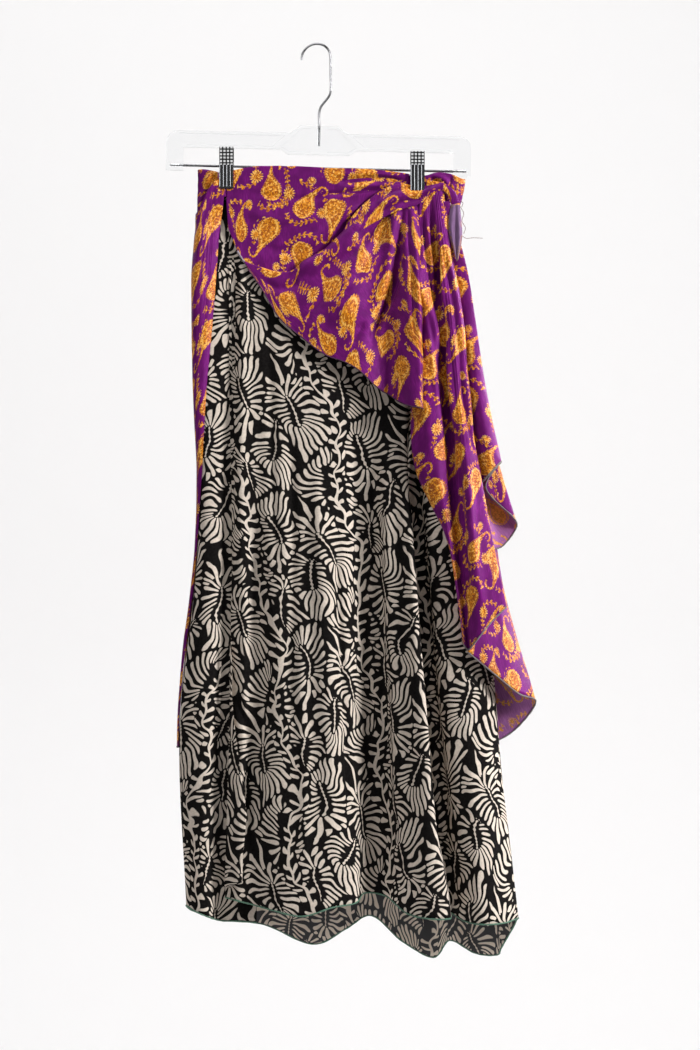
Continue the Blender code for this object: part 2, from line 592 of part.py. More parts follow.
def make_clip(clip_name, middle_x, y_front, y_back):
    """A pinch clip: two leaves with ears round the rod, and the spring between them."""
    rod_drop = rod_drop_at(middle_x)
    top = rod_drop - CLIP_ABOVE_ROD
    sides = (
        # leaf, side, y of its inner face at the jaw, distance of its ears from the middle
        ("front", -1, y_front - SEAM_GAP, CLIP_WIDTH / 2 - CLIP_SHEET),
        ("back", 1, y_back + SEAM_GAP, CLIP_WIDTH / 2 - 2 * CLIP_SHEET - SEAM_GAP),
    )
    for leaf_name, outward, y_jaw, ear_at in sides:
        name = f"{clip_name}_{leaf_name}"
        flare = outward * CLIP_FLARE
        leaf = add_object(name, leaf_mesh(name, middle_x, top, flare, y_jaw, outward), "chrome")
        share = CLIP_ABOVE_ROD / (CLIP_ABOVE_ROD + CLIP_BELOW_ROD)
        y_at_rod = flare + (y_jaw - flare) * share + outward * CLIP_SHEET * 0.5
        reach = -outward * 2.6
        for hand in (-1, 1):
            edge_in = middle_x + hand * ear_at
            edge_out = middle_x + hand * (ear_at + CLIP_SHEET)
            low = (min(edge_in, edge_out), min(y_at_rod, reach), -rod_drop - 3.4)
            high = (max(edge_in, edge_out), max(y_at_rod, reach), -rod_drop + 4.2)
            ear_name = f"join_{name}_ear_{'left' if hand < 0 else 'right'}"
            boolean(leaf, guide(ear_name, block_mesh(ear_name, low, high)), "UNION")
        bore_name = f"cut_{name}_bore"
        start = (middle_x - CLIP_WIDTH, 0, -rod_drop_at(middle_x - CLIP_WIDTH))
        end = (middle_x + CLIP_WIDTH, 0, -rod_drop_at(middle_x + CLIP_WIDTH))
        bore = guide(bore_name, rod_mesh(bore_name, ROD_RADIUS + SEAM_GAP, start, end, 12))
        boolean(leaf, bore, "DIFFERENCE")
    make_spring(clip_name, middle_x)


def make_spring(clip_name, middle_x):
    """The clip's spring as a sleeve with a closed wall, round the rod between the ears."""
    half = CLIP_WIDTH / 2 - 2 * CLIP_SHEET - 2 * SEAM_GAP - 0.1
    bm = bmesh.new()
    ring = [(ROD_RADIUS + SEAM_GAP, -half), (ROD_RADIUS + SEAM_GAP, half)]
    turns = 5
    pitch = 2 * half / turns
    for turn in range(turns):
        high = half - turn * pitch
        ring += [(SPRING_RADIUS - SPRING_WIRE / 2, high), (SPRING_RADIUS, high - pitch / 2)]
    ring.append((SPRING_RADIUS - SPRING_WIRE / 2, -half))
    verts = [bm.verts.new(Vector((along, 0, radius)) * MM) for radius, along in ring]
    edges = [bm.edges.new((a, b)) for a, b in zip(verts, verts[1:] + verts[:1])]
    bmesh.ops.spin(bm, geom=verts + edges, cent=(0, 0, 0), axis=(1, 0, 0),
                   angle=2 * math.pi, steps=12, use_merge=True)
    bmesh.ops.recalc_face_normals(bm, faces=bm.faces)
    bmesh.ops.rotate(bm, cent=(0, 0, 0), matrix=Matrix.Rotation(HANGER_TILT, 3, "Y"), verts=bm.verts)
    bmesh.ops.translate(bm, vec=place(middle_x, 0, rod_drop_at(middle_x)), verts=bm.verts)
    mesh = bpy.data.meshes.new(f"{clip_name}_spring")
    bm.to_mesh(mesh)
    bm.free()
    add_object(f"{clip_name}_spring", mesh, "steel")


# ---------------------------------------------------------------- long black layer
def make_black_layer(front, back):
    """The long under layer: front panel, its turned-back corner, and the back panel."""
    sheet_from_lines("black_front", "leaf_print", front, 2, 12)
    sheet_from_lines("black_back", "leaf_print", back, 2, 12)

    top, foot = CORNER[0][0], CORNER[-1][0]

    def corner(across, down):
        part = top + (foot - top) * down
        width = between(CORNER, part)
        return lifted(front, 0.03 + across * width, part, LIE + 0.4 + 2.0 * across, side=-1.0)

    cloth_sheet("black_front_corner", "leaf_print", corner, 4, 12)


# ---------------------------------------------------------------- short purple layer
def back_part_at(table, fold, drop):
    """How far down its fold line a drop lies, at a fold number."""
    low = min(int(fold), len(table) - 2)
    part = fold - low
    hem = table[low][2] + (table[low + 1][2] - table[low][2]) * part
    top = table[low][1]
    return (drop - top) / (hem - top)


def make_left_fold(back):
    """The purple fold that hangs from the left clip and turns round the left side."""
    def surface(across, down):
        front_edge = between(LEFT_FOLD, down)
        fold = front_edge + (SIDE_SEAM - front_edge) * across
        stand = [(step / 3, between(LEFT_FOLD, down, 2 + step)) for step in range(4)]
        drop = 170 + (BACK_HEM - 170) * down
        return lifted(back, fold, back_part_at(BACK_FOLDS, fold, drop), between(stand, across))

    cloth_sheet("purple_left_fold", "purple_silk", surface, 9, 22)


def purple_back_point(back, fold, down):
    """A point of the purple back at a fold number of the black back."""
    drop = 170 + (BACK_HEM - 170) * down
    near_seam = min(1.0, max(0.0, (6.5 - fold) / 0.6))
    lift = LIE + (between(LEFT_FOLD, down, 5) - LIE) * near_seam + between(BACK_BRIDGES, fold) * down
    return lifted(back, fold, back_part_at(BACK_FOLDS, fold, drop), lift)


def make_purple_back(back):
    """The purple back panel, bridging the black valleys under it."""
    def surface(across, down):
        fold = BACK_START + (BACK_END - 0.02 - BACK_START) * across
        return purple_back_point(back, fold, down)

    cloth_sheet("purple_back", "purple_silk", surface, 24, 13)


def make_side(back):
    """The right side gore, from the back seam round to its hidden front edge."""
    seam = [purple_back_point(back, BACK_END, step / 4) for step in range(5)]
    sheet_from_lines("purple_side", "purple_silk", [seam] + fold_lines(SIDE_FOLDS), 2, 14)


def make_purple_front():
    """Upper panel, swag, cascade and ripple."""
    sheet_from_lines("purple_front_upper", "purple_silk", rib_lines(UPPER_RIBS), 2, 6)
    sheet_from_lines("purple_swag", "purple_silk", rib_lines(SWAG_RIBS), 2, 10)
    sheet_from_lines("purple_cascade", "purple_silk", fold_lines(CASCADE_FOLDS), 2, 14)
    sheet_from_lines("purple_ripple", "purple_silk", fold_lines(RIPPLE_FOLDS), 2, 10)


def make_waistband():
    """The purple waistband: its front stretch, and its back with the left turn."""
    sheet_from_lines("waistband_front", "purple_silk", band_lines(BAND_FRONT), 2, 2)
    sheet_from_lines("waistband_back", "purple_silk", band_lines(BAND_BACK), 2, 2)


# ---------------------------------------------------------------- ties
def make_knot():
    """The gathered roll under the right clip, from which the cascade falls."""
    bm = bmesh.new()
    bmesh.ops.create_uvsphere(bm, u_segments=16, v_segments=10, radius=1.0)
    squareness = 0.55
    for vert in bm.verts:
        shaped = [math.copysign(abs(value) ** squareness, value) for value in vert.co]
        vert.co = place(KNOT_CENTRE[0] + shaped[2] * KNOT_RADII[0],
                        KNOT_CENTRE[1] + shaped[1] * KNOT_RADII[1],
                        KNOT_CENTRE[2] - shaped[0] * KNOT_RADII[2])
    bmesh.ops.recalc_face_normals(bm, faces=bm.faces)
    mesh = bpy.data.meshes.new("tie_knot")
    bm.to_mesh(mesh)
    bm.free()
    mesh.shade_smooth()
    add_object("tie_knot", mesh, "purple_silk")


def make_loop():
    """The flat tie that leaves the right clip and turns down at the side."""
    route = [place(*point) for point in LOOP_ROUTE]

    def surface(across, down):
        at = across * (len(route) - 1)
        ahead = smooth_path(route, min(at + 0.05, len(route) - 1))
        behind = smooth_path(route, max(at - 0.05, 0.0))
        run = (ahead - behind).normalized()
        down_cloth = run.cross(Vector((0, 1, 0))).normalized()
        return smooth_path(route, at) + down_cloth * ((down - 0.5) * LOOP_WIDTH * MM)

    cloth_sheet("tie_loop", "purple_silk", surface, 12, 2)


def make_ties():
    """Knot, loop and the loose end below it."""
    make_knot()
    make_loop()
    sheet_from_lines("tie_end", "purple_silk", rib_lines(TIE_END_RIBS), 2, 6)


# ---------------------------------------------------------------- the whole part
def main():
    """Build the hanger and the skirt on it."""
    start_empty()
    pivot = tilt_pivot()
    make_hanger_body(pivot)
    make_rod(pivot)
    make_hook()
    for clip in CLIPS:
        make_clip(*clip)
    front, back = fold_lines(FRONT_FOLDS), fold_lines(BACK_FOLDS)
    make_black_layer(front, back)
    make_left_fold(back)
    make_purple_back(back)
    make_side(back)
    make_purple_front()
    make_waistband()
    make_ties()


main()
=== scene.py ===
# %% [markdown]
# # A two-layer wrap skirt on a clear clip hanger
#
# The packed CAD model gives the frame: a hanger with two pinch clips, a long black layer
# with a leaf print, and a short purple silk layer with gold paisleys, draped to the right
# clip. This lesson turns each plain cloth solid into a thin, creased sheet on the same fold
# lines, prints it with node groups, and sews its hems.

import math
import random

import bmesh
import bpy
import numpy as np
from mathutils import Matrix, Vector, noise


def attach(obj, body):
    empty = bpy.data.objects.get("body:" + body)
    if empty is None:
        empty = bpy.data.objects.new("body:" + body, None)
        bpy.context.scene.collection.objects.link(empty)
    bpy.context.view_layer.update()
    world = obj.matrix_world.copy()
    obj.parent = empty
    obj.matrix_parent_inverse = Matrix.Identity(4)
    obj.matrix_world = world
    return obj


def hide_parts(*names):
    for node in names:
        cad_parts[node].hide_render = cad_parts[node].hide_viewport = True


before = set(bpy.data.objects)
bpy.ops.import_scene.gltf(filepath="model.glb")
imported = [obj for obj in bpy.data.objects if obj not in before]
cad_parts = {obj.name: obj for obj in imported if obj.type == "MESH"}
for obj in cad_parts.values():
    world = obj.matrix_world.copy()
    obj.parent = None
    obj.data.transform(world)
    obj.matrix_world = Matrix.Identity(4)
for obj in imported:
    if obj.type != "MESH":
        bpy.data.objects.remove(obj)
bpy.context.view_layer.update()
MM = 0.001
print("CAD nodes:", len(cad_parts))

# %% [markdown]
# ## Camera
#
# The skirt hangs flat, so it is seen best from straight in front. The camera stands four
# metres away, level, a little to the right of the hook. A long lens at that distance keeps
# the near and far folds at almost the same scale, which a short lens close by would not.

# %% Camera
CAMERA_AT = (0.0374, -4.0, -0.5616)
LENS = 117.2              # mm
SENSOR = 36.0             # mm wide
scene = bpy.context.scene
camera_data = bpy.data.cameras.new("camera")
camera_data.lens = LENS
camera_data.sensor_width = SENSOR
camera = bpy.data.objects.new("camera", camera_data)
camera.location = CAMERA_AT
camera.rotation_euler = (math.radians(90), 0, 0)
scene.collection.objects.link(camera)
scene.camera = camera
scene.view_settings.view_transform = "Standard"
print("camera: lens", LENS, "mm at", CAMERA_AT)

# %% [markdown]
# ## Backdrop
#
# A studio hangs one long sheet of pale paper that sweeps from the floor up into the wall, so
# no corner shows. Here it is a profile of a few points, extruded sideways. The wall stands
# close behind the skirt, so a camera that looks from the back would see only paper. The paper
# is therefore clear on its back: Geometry's Backfacing mixes in a transparent shader.

# %% Backdrop


def plain_material(name, colour, roughness):
    """A Principled material with one colour, for the stage."""
    made = bpy.data.materials.new(name)
    made.use_nodes = True
    shader = made.node_tree.nodes["Principled BSDF"]
    shader.inputs["Base Color"].default_value = (*colour, 1)
    shader.inputs["Roughness"].default_value = roughness
    return made


PAPER = (0.868, 0.862, 0.862)


def one_sided_paper(colour):
    """Paper that is clear from behind, so that the other views look through it."""
    paper = plain_material("backdrop_paper", colour, 0.9)
    nodes, links = paper.node_tree.nodes, paper.node_tree.links
    clear, mix = nodes.new("ShaderNodeBsdfTransparent"), nodes.new("ShaderNodeMixShader")
    side = nodes.new("ShaderNodeNewGeometry")
    links.new(side.outputs["Backfacing"], mix.inputs["Fac"])
    links.new(nodes["Principled BSDF"].outputs["BSDF"], mix.inputs[1])
    links.new(clear.outputs["BSDF"], mix.inputs[2])
    links.new(mix.outputs["Shader"], nodes["Material Output"].inputs["Surface"])
    return paper


def make_backdrop():
    """A floor that sweeps up into a wall behind the hanger."""
    half_width, front, wall, floor, top, bend = 4.0, -0.8, 1.6, -1.5, 3.5, 0.8
    steps = 12
    profile = [(front, floor)]
    for step in range(steps + 1):
        angle = math.radians(90 * step / steps)
        profile.append((wall - bend + bend * math.sin(angle), floor + bend - bend * math.cos(angle)))
    profile.append((wall, top))
    bm = bmesh.new()
    near = [bm.verts.new((-half_width, y, z)) for y, z in profile]
    edges = [bm.edges.new(pair) for pair in zip(near, near[1:])]
    sweep = bmesh.ops.extrude_edge_only(bm, edges=edges)
    far = [item for item in sweep["geom"] if isinstance(item, bmesh.types.BMVert)]
    bmesh.ops.translate(bm, vec=(2 * half_width, 0, 0), verts=far)
    bm.normal_update()
    # a face that looks away from the camera is turned, or the paper would be clear in front
    wrong = [face for face in bm.faces if face.normal.z - face.normal.y < 0]
    bmesh.ops.reverse_faces(bm, faces=wrong)
    mesh = bpy.data.meshes.new("backdrop")
    bm.to_mesh(mesh)
    bm.free()
    mesh.shade_smooth()
    backdrop = bpy.data.objects.new("backdrop", mesh)
    backdrop.data.materials.append(one_sided_paper(PAPER))
    scene.collection.objects.link(backdrop)
    print("backdrop:", len(mesh.polygons), "faces, turned round:", len(wrong))


make_backdrop()

# %% [markdown]
# ## Light
#
# Creases show only where light comes from the side. A soft box at the right is the key. A
# grid in front of it narrows its spread, so that little of it falls on the wall. A weaker,
# larger box at the left keeps the shadows open, one from above lights the paper, and a small
# one behind at the right gives the views from the back some shape.

# %% Lights


def soft_box(name, place_at, aim, size, power, spread):
    """A square area light that looks at a point; a grid in front of it narrows its spread."""
    light = bpy.data.lights.new(name, "AREA")
    light.spread = math.radians(spread)
    light.size = size
    light.energy = power
    made = bpy.data.objects.new(name, light)
    made.location = place_at
    made.rotation_euler = (Vector(aim) - Vector(place_at)).to_track_quat("-Z", "Y").to_euler()
    scene.collection.objects.link(made)
    print(name, power, "W, spread", spread, "degrees")


SKIRT_MIDDLE = (0.03, 0, -0.55)
NO_GRID = 180
# name, place, point it looks at, side of the box in metres, power in watts, spread in degrees
LIGHTS = (
    ("key_light", (3.0, -1.55, 0.8), SKIRT_MIDDLE, 0.8, 55, 100),
    ("fill_light", (-2.4, -2.6, 0.2), SKIRT_MIDDLE, 1.2, 17, NO_GRID),
    ("wall_light", (-0.6, -0.4, 1.9), (-0.3, 1.6, -0.7), 2.4, 50, NO_GRID),
    ("back_light", (2.3, 1.0, 0.6), SKIRT_MIDDLE, 0.7, 5, 40),
)
for row in LIGHTS:
    soft_box(*row)

# %% Air in the studio
world = bpy.data.worlds.new("studio")
world.use_nodes = True
air = world.node_tree.nodes["Background"]
air.inputs["Color"].default_value = (1.0, 0.99, 1.0, 1)
air.inputs["Strength"].default_value = 0.04
scene.world = world
print("light from all round:", round(air.inputs["Strength"].default_value, 3))

# %% [markdown]
# ## Fold lines
#
# Each cloth follows a short table of fold lines in millimetres: x to the right, y to the
# back, and drop, the distance below the hook. A smooth curve runs down each fold line, and
# another one across all of them, so a few rows give the whole drape. A cloth simulation would
# find folds by itself, but not these ones: a table puts each fold where the skirt has it.

# %% Fold tables of the black layer
WAIST = 170               # drop of the top of every fold line, mm
# name, drop at the top, drop at the hem, x at equal stations down the fold, y at the same
FRONT_FOLDS = (
    ("free edge", 170, 995, (-104, -104, -102, -102, -108), (-2.8, -4, -8, -14, -20)),
    ("edge crest", 170, 998, (-94, -90, -87, -90, -93), (-2.8, -6, -15, -24, -32)),
    ("edge valley", 170, 1002, (-79, -76, -72, -77, -76), (-2.8, -7, -16, -25, -33)),
    ("crest 1 left", 170, 1008, (-56, -50, -44, -47, -48), (-2.8, -9, -23, -37, -50)),
    ("crest 1", 170, 1013, (-30, -20, -13, -15, -17), (-2.8, -10, -26, -42, -58)),
    ("crest 1 right", 170, 1003, (-7, 6, 14, 13, 17), (-2.8, -10, -25, -41, -56)),
    ("crest 1 turn", 170, 999, (12, 27, 33, 30, 43), (-2.8, -8, -20, -34, -47)),
    ("valley 1 left", 170, 990, (28, 43, 51, 50, 55), (-2.8, -6, -12, -16, -19)),
    ("valley 1", 170, 994, (44, 60, 70, 76, 79), (-2.8, -5, -9, -12, -14)),
    ("crest 2 rise", 170, 1011, (57, 74, 90, 98, 104), (-2.8, -8, -20, -34, -48)),
    ("crest 2", 170, 1015, (70, 88, 105, 118, 134), (-2.8, -10, -29, -49, -69)),
    ("crest 2 turn", 170, 1015, (78, 98, 115, 132, 153), (-2.8, -9, -25, -43, -62)),
    ("valley 2", 170, 1012, (87, 103, 117, 132, 152), (-2.8, -4, -7, -11, -17)),
    ("crest 3 rise", 170, 1021, (101, 116, 133, 150, 170), (-2.8, -5, -12, -21, -32)),
    ("crest 3", 170, 1023, (125, 140, 157, 174, 191), (-2.8, -6, -17, -34, -52)),
    ("crest 3 right", 170, 1023, (143, 160, 180, 194, 216), (-2.8, -5, -12, -25, -38)),
    ("side turn", 170, 1020, (153, 174, 194, 210, 234), (-2.3, -3, -5, -9, -13)),
    ("seam turn", 170, 1023, (155, 175, 195, 211, 232), (-1.4, -1.8, -2, -3, -4)),
    ("side seam", 170, 1024, (155, 175, 195, 211, 232), (-0.2, -0.2, -0.2, -0.2, -0.2)),
)
BACK_FOLDS = (
    ("underlap edge", 170, 1026, (-65, -65, -65, -68, -72), (-1.2, -1.6, -2, -3, -4)),
    ("underlap", 170, 1024, (-85, -85, -85, -88, -91), (-1.2, -2.4, -4, -6, -9)),
    ("underlap valley", 170, 1024, (-105, -105, -108, -110, -112), (-1.2, -1.6, -2.5, -4, -6)),
    ("strip crest", 170, 1017, (-118, -118, -122, -128, -129), (-1.2, -4, -10, -17, -24)),
    ("strip left", 170, 1011, (-129, -131, -134, -143, -143), (-1.2, -4, -9, -15, -21)),
    ("left side", 170, 1006, (-135, -138.5, -140, -161, -154), (0.2, 0.2, -1, -3, -5)),
    ("left back", 170, 1014, (-132, -135, -140, -156, -149), (1.6, 4, 7, 12, 16)),
    ("back crest 1", 170, 1028, (-105, -106, -108, -116, -110), (1.6, 7, 16, 26, 34)),
    ("back valley 1", 170, 1031, (-66, -66, -66, -68, -66), (1.6, 5, 11, 18, 22)),
    ("back crest 2", 170, 1058, (-23, -19, -14, -11, -5), (1.6, 9, 22, 36, 48)),
    ("back valley 2", 170, 1036, (14, 20, 26, 28, 33), (1.6, 6, 11, 15, 18)),
    ("back valley 3", 170, 1020, (37, 44, 53, 56, 61), (1.6, 5, 10, 13, 15)),
    ("back rise 3", 170, 1053, (59, 70, 83, 90, 99), (1.6, 7, 17, 27, 36)),
    ("back crest 3", 170, 1074, (77, 94, 110, 122, 137), (1.6, 10, 24, 38, 52)),
    ("back valley 4", 170, 1051, (94, 110, 128, 142, 155), (1.6, 7, 15, 22, 28)),
    ("back crest 4", 170, 1068, (115, 134, 154, 171, 186), (1.6, 8, 20, 31, 42)),
    ("back right", 170, 1068, (136, 156, 176, 190, 211), (1.6, 6, 14, 22, 28)),
    ("right turn", 170, 1058, (151, 171, 191, 204, 215), (1.6, 4, 7, 10, 13)),
    ("seam turn", 170, 1030, (155, 175, 195, 211, 230), (1.0, 1.4, 2, 3, 4)),
    ("side seam", 170, 1024, (155, 175, 195, 211, 232), (0.2, 0.2, 0.2, 0.2, 0.2)),
)
print("fold lines of the black layer:", len(FRONT_FOLDS), "in front,", len(BACK_FOLDS), "behind")

# %% Fold tables of the purple layer
SIDE_FOLDS = (
    ("back flare", 170, 812, (148, 164, 181, 200, 217), (3.3, 6, 10.5, 15, 19)),
    ("side back", 170, 796, (158.5, 175, 194, 215, 237), (1.8, 4, 6, 9, 12)),
    ("outermost", 170, 768, (160, 177, 194, 213, 255), (-1, -1, -1, 0, 0)),
    ("side front", 170, 758, (157, 173, 188, 205, 234), (-3.8, -5.5, -9, -15, -24)),
    ("front", 170, 737, (152, 166, 177, 189, 208), (-4.4, -7.5, -12, -21, -33)),
    ("front edge", 170, 709, (145, 157, 165, 169, 174), (-4.4, -7.5, -14, -26, -38)),
)
CASCADE_FOLDS = (
    ("tucked edge", 178, 690, (116, 115, 118, 122, 158, 169.5), (-9.5, -12, -17, -25, -35, -41)),
    ("left edge", 178, 696, (119, 112, 110, 111.5, 154.5, 167.5), (-10, -17, -23, -32, -41.5, -46.5)),
    ("left crest", 177, 701, (123, 121, 125, 150, 169.5), (-10.5, -26, -41, -50, -51)),
    ("left fall", 176, 704, (127, 133, 141.5, 156, 171.5), (-10.8, -26, -39, -47.5, -50)),
    ("valley", 175, 706, (130.5, 140, 151, 161, 174), (-10.6, -22, -33, -42, -47)),
    ("main rise", 173, 702, (134, 146, 157, 166.5, 178), (-11, -28, -41, -51, -54)),
    ("main crest", 171, 690, (138, 152, 164, 175.5, 187), (-11.5, -32, -46, -58, -61)),
    ("main right", 170, 674, (142, 158, 171, 185, 200), (-11.2, -30, -44, -55, -58)),
    ("right edge", 169, 656, (146, 161, 175, 194, 218), (-10.5, -25.5, -37, -48, -51)),
    ("right tuck", 169, 661, (144, 155, 168, 186, 211), (-9.5, -21.5, -31, -41, -45)),
)
RIPPLE_FOLDS = (
    ("hidden edge", 184, 523, (139, 150, 160, 169, 181), (-12.6, -15.5, -21, -27, -32)),
    ("outer crest", 184, 498, (145, 164, 177, 189, 203), (-12.9, -20, -29, -37, -42)),
    ("right fold", 184, 488, (152, 173, 185, 197, 213), (-12.2, -19, -25.5, -30, -33)),
    ("inner fold", 184, 517, (154.5, 166, 175, 184, 195), (-10.6, -14.6, -19.6, -23, -26)),
    ("under crest", 184, 556, (153, 171, 181, 203, 230), (-9.0, -12, -16, -19, -21)),
    ("under turn", 184, 564, (150.5, 171.5, 182, 204, 231.5), (-8.0, -9.8, -12.5, -15, -16)),
    ("under edge", 184, 587, (147, 164, 174, 190, 214), (-7.6, -8.0, -10.5, -12, -12)),
    ("under tuck", 184, 590, (144, 158, 168, 184, 202), (-7.8, -9.5, -13, -15.5, -16)),
)

print("fold lines at the right:", len(SIDE_FOLDS) + len(CASCADE_FOLDS) + len(RIPPLE_FOLDS))

# %% [markdown]
# ## Ribs and uprights
#
# A piece that is drawn up or wrapped has no straight fold lines. It gets short ribs instead,
# each with three points from its top edge to its foot. The waistband is flat, so the two
# ends of each upright are enough.

# %% Rib tables
# name, then the top, middle and foot of the rib as x, y, drop
SWAG_RIBS = (
    ("tip", (-86, -8.4, 255), (-84, -8.4, 258), (-82, -8.4, 262)),
    ("lower 1", (-65, -9.4, 263), (-65, -10.6, 276), (-65, -10.8, 287)),
    ("lower 2", (-45, -10.6, 268), (-45, -13.5, 296), (-44, -13.8, 321)),
    ("lower 3", (-27, -11.5, 266), (-22, -16, 306), (-17, -16.5, 344)),
    ("belly 1", (-10, -12, 256), (-1, -19, 310), (8, -20, 363)),
    ("belly 2", (13, -12, 243), (23, -21, 308), (34, -24, 373)),
    ("belly 3", (32, -11, 224), (42, -21, 306), (51, -26, 384)),
    ("belly 4", (46, -10, 211), (56, -19, 305), (65, -25, 398)),
    ("valley left", (61, -9, 192), (70, -16, 299), (75, -22, 406)),
    ("valley", (79, -8, 174), (84, -16, 299), (83, -22, 410)),
    ("crest rise", (93, -7.5, 163), (98, -25, 300), (95, -34, 419)),
    ("crest", (103, -7.5, 167), (111, -32, 300), (108, -44, 424)),
    ("crest right", (112, -8, 175), (118, -31, 300), (120, -47, 426)),
    ("crest turn", (121, -9, 180), (121, -24, 300), (122.5, -40, 427)),
)
UPPER_RIBS = (
    ("left edge", (-106, -6.3, 150), (-107, -6.0, 185), (-105, -6.0, 215)),
    ("left", (-96, -6.6, 147.5), (-95, -6.3, 200), (-91, -6.6, 247)),
    ("tip side", (-79, -6.9, 143.5), (-78, -6.4, 212), (-76, -7.0, 265)),
    ("low 1", (-56, -6.9, 142.5), (-56, -6.6, 215), (-55, -7.6, 280)),
    ("low 2", (-33, -6.9, 143), (-33, -6.8, 215), (-33, -8.1, 283)),
    ("low 3", (-9, -6.9, 143.7), (-9, -6.8, 212), (-10, -8.1, 273)),
    ("rise 1", (14, -6.9, 145.2), (13, -6.6, 205), (12, -7.4, 257)),
    ("rise 2", (37, -6.9, 145.6), (36, -6.4, 195), (34, -6.8, 238)),
    ("rise 3", (61, -6.9, 146.6), (58, -6.2, 183), (56, -6.2, 212)),
    ("right", (84, -6.9, 149), (82, -6.2, 172), (78, -6.2, 195)),
    ("clip", (107, -7.0, 152.5), (106, -6.8, 163), (102, -6.8, 176)),
)
# the wrap over the top of the pleats, from the swag's edge up to the tie
FLAP_RIBS = (
    ("swag end", (27, -12, 222), (31, -14, 226), (35, -14.5, 229)),
    ("low", (41, -10.6, 200), (46, -13.6, 211), (52, -14, 217)),
    ("rise", (61, -9.4, 180), (66, -13.4, 195), (71, -13.4, 206)),
    ("broad", (82, -9.2, 167), (84, -13.2, 181), (87, -13, 198)),
    ("clip left", (99.5, -8.4, 163), (101, -12.8, 177), (102.5, -13, 192)),
    ("clip", (117, -8.9, 167), (118.5, -12.6, 176), (119.5, -12.6, 186.5)),
    ("clip right", (133.5, -9.8, 163), (132.5, -13.2, 170), (131, -12, 177)),
    ("tie", (147, -11.5, 161), (146.5, -13.2, 165), (146, -12, 170)),
)
TIE_END_RIBS = (
    ("left", (155, -13, 188), (152, -19, 216), (160, -25, 250)),
    ("left fold", (158, -14.5, 188), (156, -22, 219), (160.8, -26.5, 253)),
    ("middle", (160.5, -13.6, 188), (160, -19.5, 222), (161.5, -25, 255)),
    ("right fold", (163, -14, 188), (164.5, -22.5, 224), (162.4, -26, 254)),
    ("right", (165.5, -12.8, 188), (168, -18.5, 226), (163.2, -24, 252)),
)
print("ribs:", len(SWAG_RIBS), len(UPPER_RIBS), len(FLAP_RIBS), len(TIE_END_RIBS))

# %% Waistband tables
# name, x, drop of its top, drop of its foot, y
BAND_FRONT = (
    ("left end", -116, 149, 176, -6),
    ("left clip", -98, 148, 180, -6),
    ("rise", -84, 144, 178, -6),
    ("flat 1", -50, 143, 178, -6),
    ("flat 2", -15, 144, 178, -6),
    ("flat 3", 20, 146, 178, -6),
    ("flat 4", 51, 146, 178, -6),
    ("dip", 82, 149, 180, -6),
    ("right clip", 109, 153, 180, -6),
    ("right clip out", 126, 153, 181, -6),
    ("peak", 138, 150, 183, -6),
    ("end 1", 154, 151, 189, -6),
    ("end 2", 167, 156.5, 195, -5.4),
    ("end turn", 171.5, 157.5, 194, -2.6),
    ("end seam", 172, 157.5, 194, -0.2),
)
BAND_BACK = (
    ("end seam", 172, 157.5, 194, 0.2),
    ("end turn", 171.5, 157.5, 194, 2.6),
    ("end 1", 162, 157, 192, 5.0),
    ("peak", 142, 152, 184, 5.4),
    ("right clip", 116, 153, 180, 5.4),
    ("flat 4", 51, 149, 178, 5.4),
    ("flat 2", -15, 149, 178, 5.4),
    ("rise", -84, 149, 178, 5.4),
    ("left clip", -107, 150, 178, 5.4),
    ("left turn in", -122, 148, 170, 5.5),
    ("left back", -134, 147, 170, 4.6),
    ("left turn", -140.5, 146, 206, 1.2),
    ("left front", -133, 145.5, 202, -1.8),
    ("left end", -117, 149, 184, -5.0),
)
print("uprights of the waistband:", len(BAND_FRONT), "in front,", len(BAND_BACK), "behind")

# %% [markdown]
# ## What lies on the black back
#
# The purple back and left fold hang on the black layer, so they need no fold lines of their
# own. Their tables say which fold of the black back is under them and how far off it they
# stand. If the black folds change, the purple ones follow.

# %% Tables of the cloth that lies on the black back
# part of its length, fold number under its front edge, stand-off at the front edge, in the
# middle, at the outer edge and at the side seam
LEFT_FOLD = (
    (0.00, 2.30, 3.1, 3.6, 4.6, 2.8),
    (0.03, 2.45, 3.1, 3.6, 5.0, 2.8),
    (0.08, 2.80, 3.1, 6.0, 11.5, 3.4),
    (0.15, 3.05, 2.6, 6.0, 12.0, 3.6),
    (0.35, 3.86, 2.0, 4.0, 6.2, 3.0),
    (0.50, 4.30, 2.0, 2.2, 2.6, 2.4),
    (0.65, 5.10, 2.0, 2.4, 2.8, 2.2),
    (0.80, 5.10, 2.4, 4.0, 4.6, 3.4),
    (1.00, 5.10, 1.8, 2.2, 2.6, 3.0),
)
# part across the left fold, drop of its slanting top edge
LEFT_FOLD_TOP = ((0.0, 157), (0.3, 160), (0.5, 171), (0.65, 183), (0.8, 199), (1.0, 212))
LIE = 1.7                 # how far purple cloth lies off black cloth, mm
SIDE_SEAM = 5.6           # fold number of the black back at the left side seam
BACK_START = 5.68         # fold numbers between which the purple back lies
BACK_END = 16.0
BACK_HEM = 822.0          # drop of the purple back's hem, mm
# fold number, how far the purple back bridges the black valley under it at its hem
BACK_BRIDGES = ((5.6, 0), (7, 0), (8, 5), (9, 0), (10, 8), (11, 9), (12, 4), (13, 0),
                (14, 7), (15, 0), (16, 1))
# part of the front's length, width of the turned-back corner in fold numbers
CORNER = ((0.640, 0.22), (0.718, 0.35), (0.835, 1.25), (0.877, 1.60), (0.937, 1.30),
          (0.972, 1.30), (0.984, 0.50))
print("the purple back bridges up to", max(bridge for _, bridge in BACK_BRIDGES), "mm")

# %% [markdown]
# ## A smooth curve through a few points
#
# Blender's own curves could join the points, but their handles would have to be set by hand.
# `smooth_path` needs none: its steps go by the square root of the distance between points,
# which keeps it from overshooting at a tight fold.

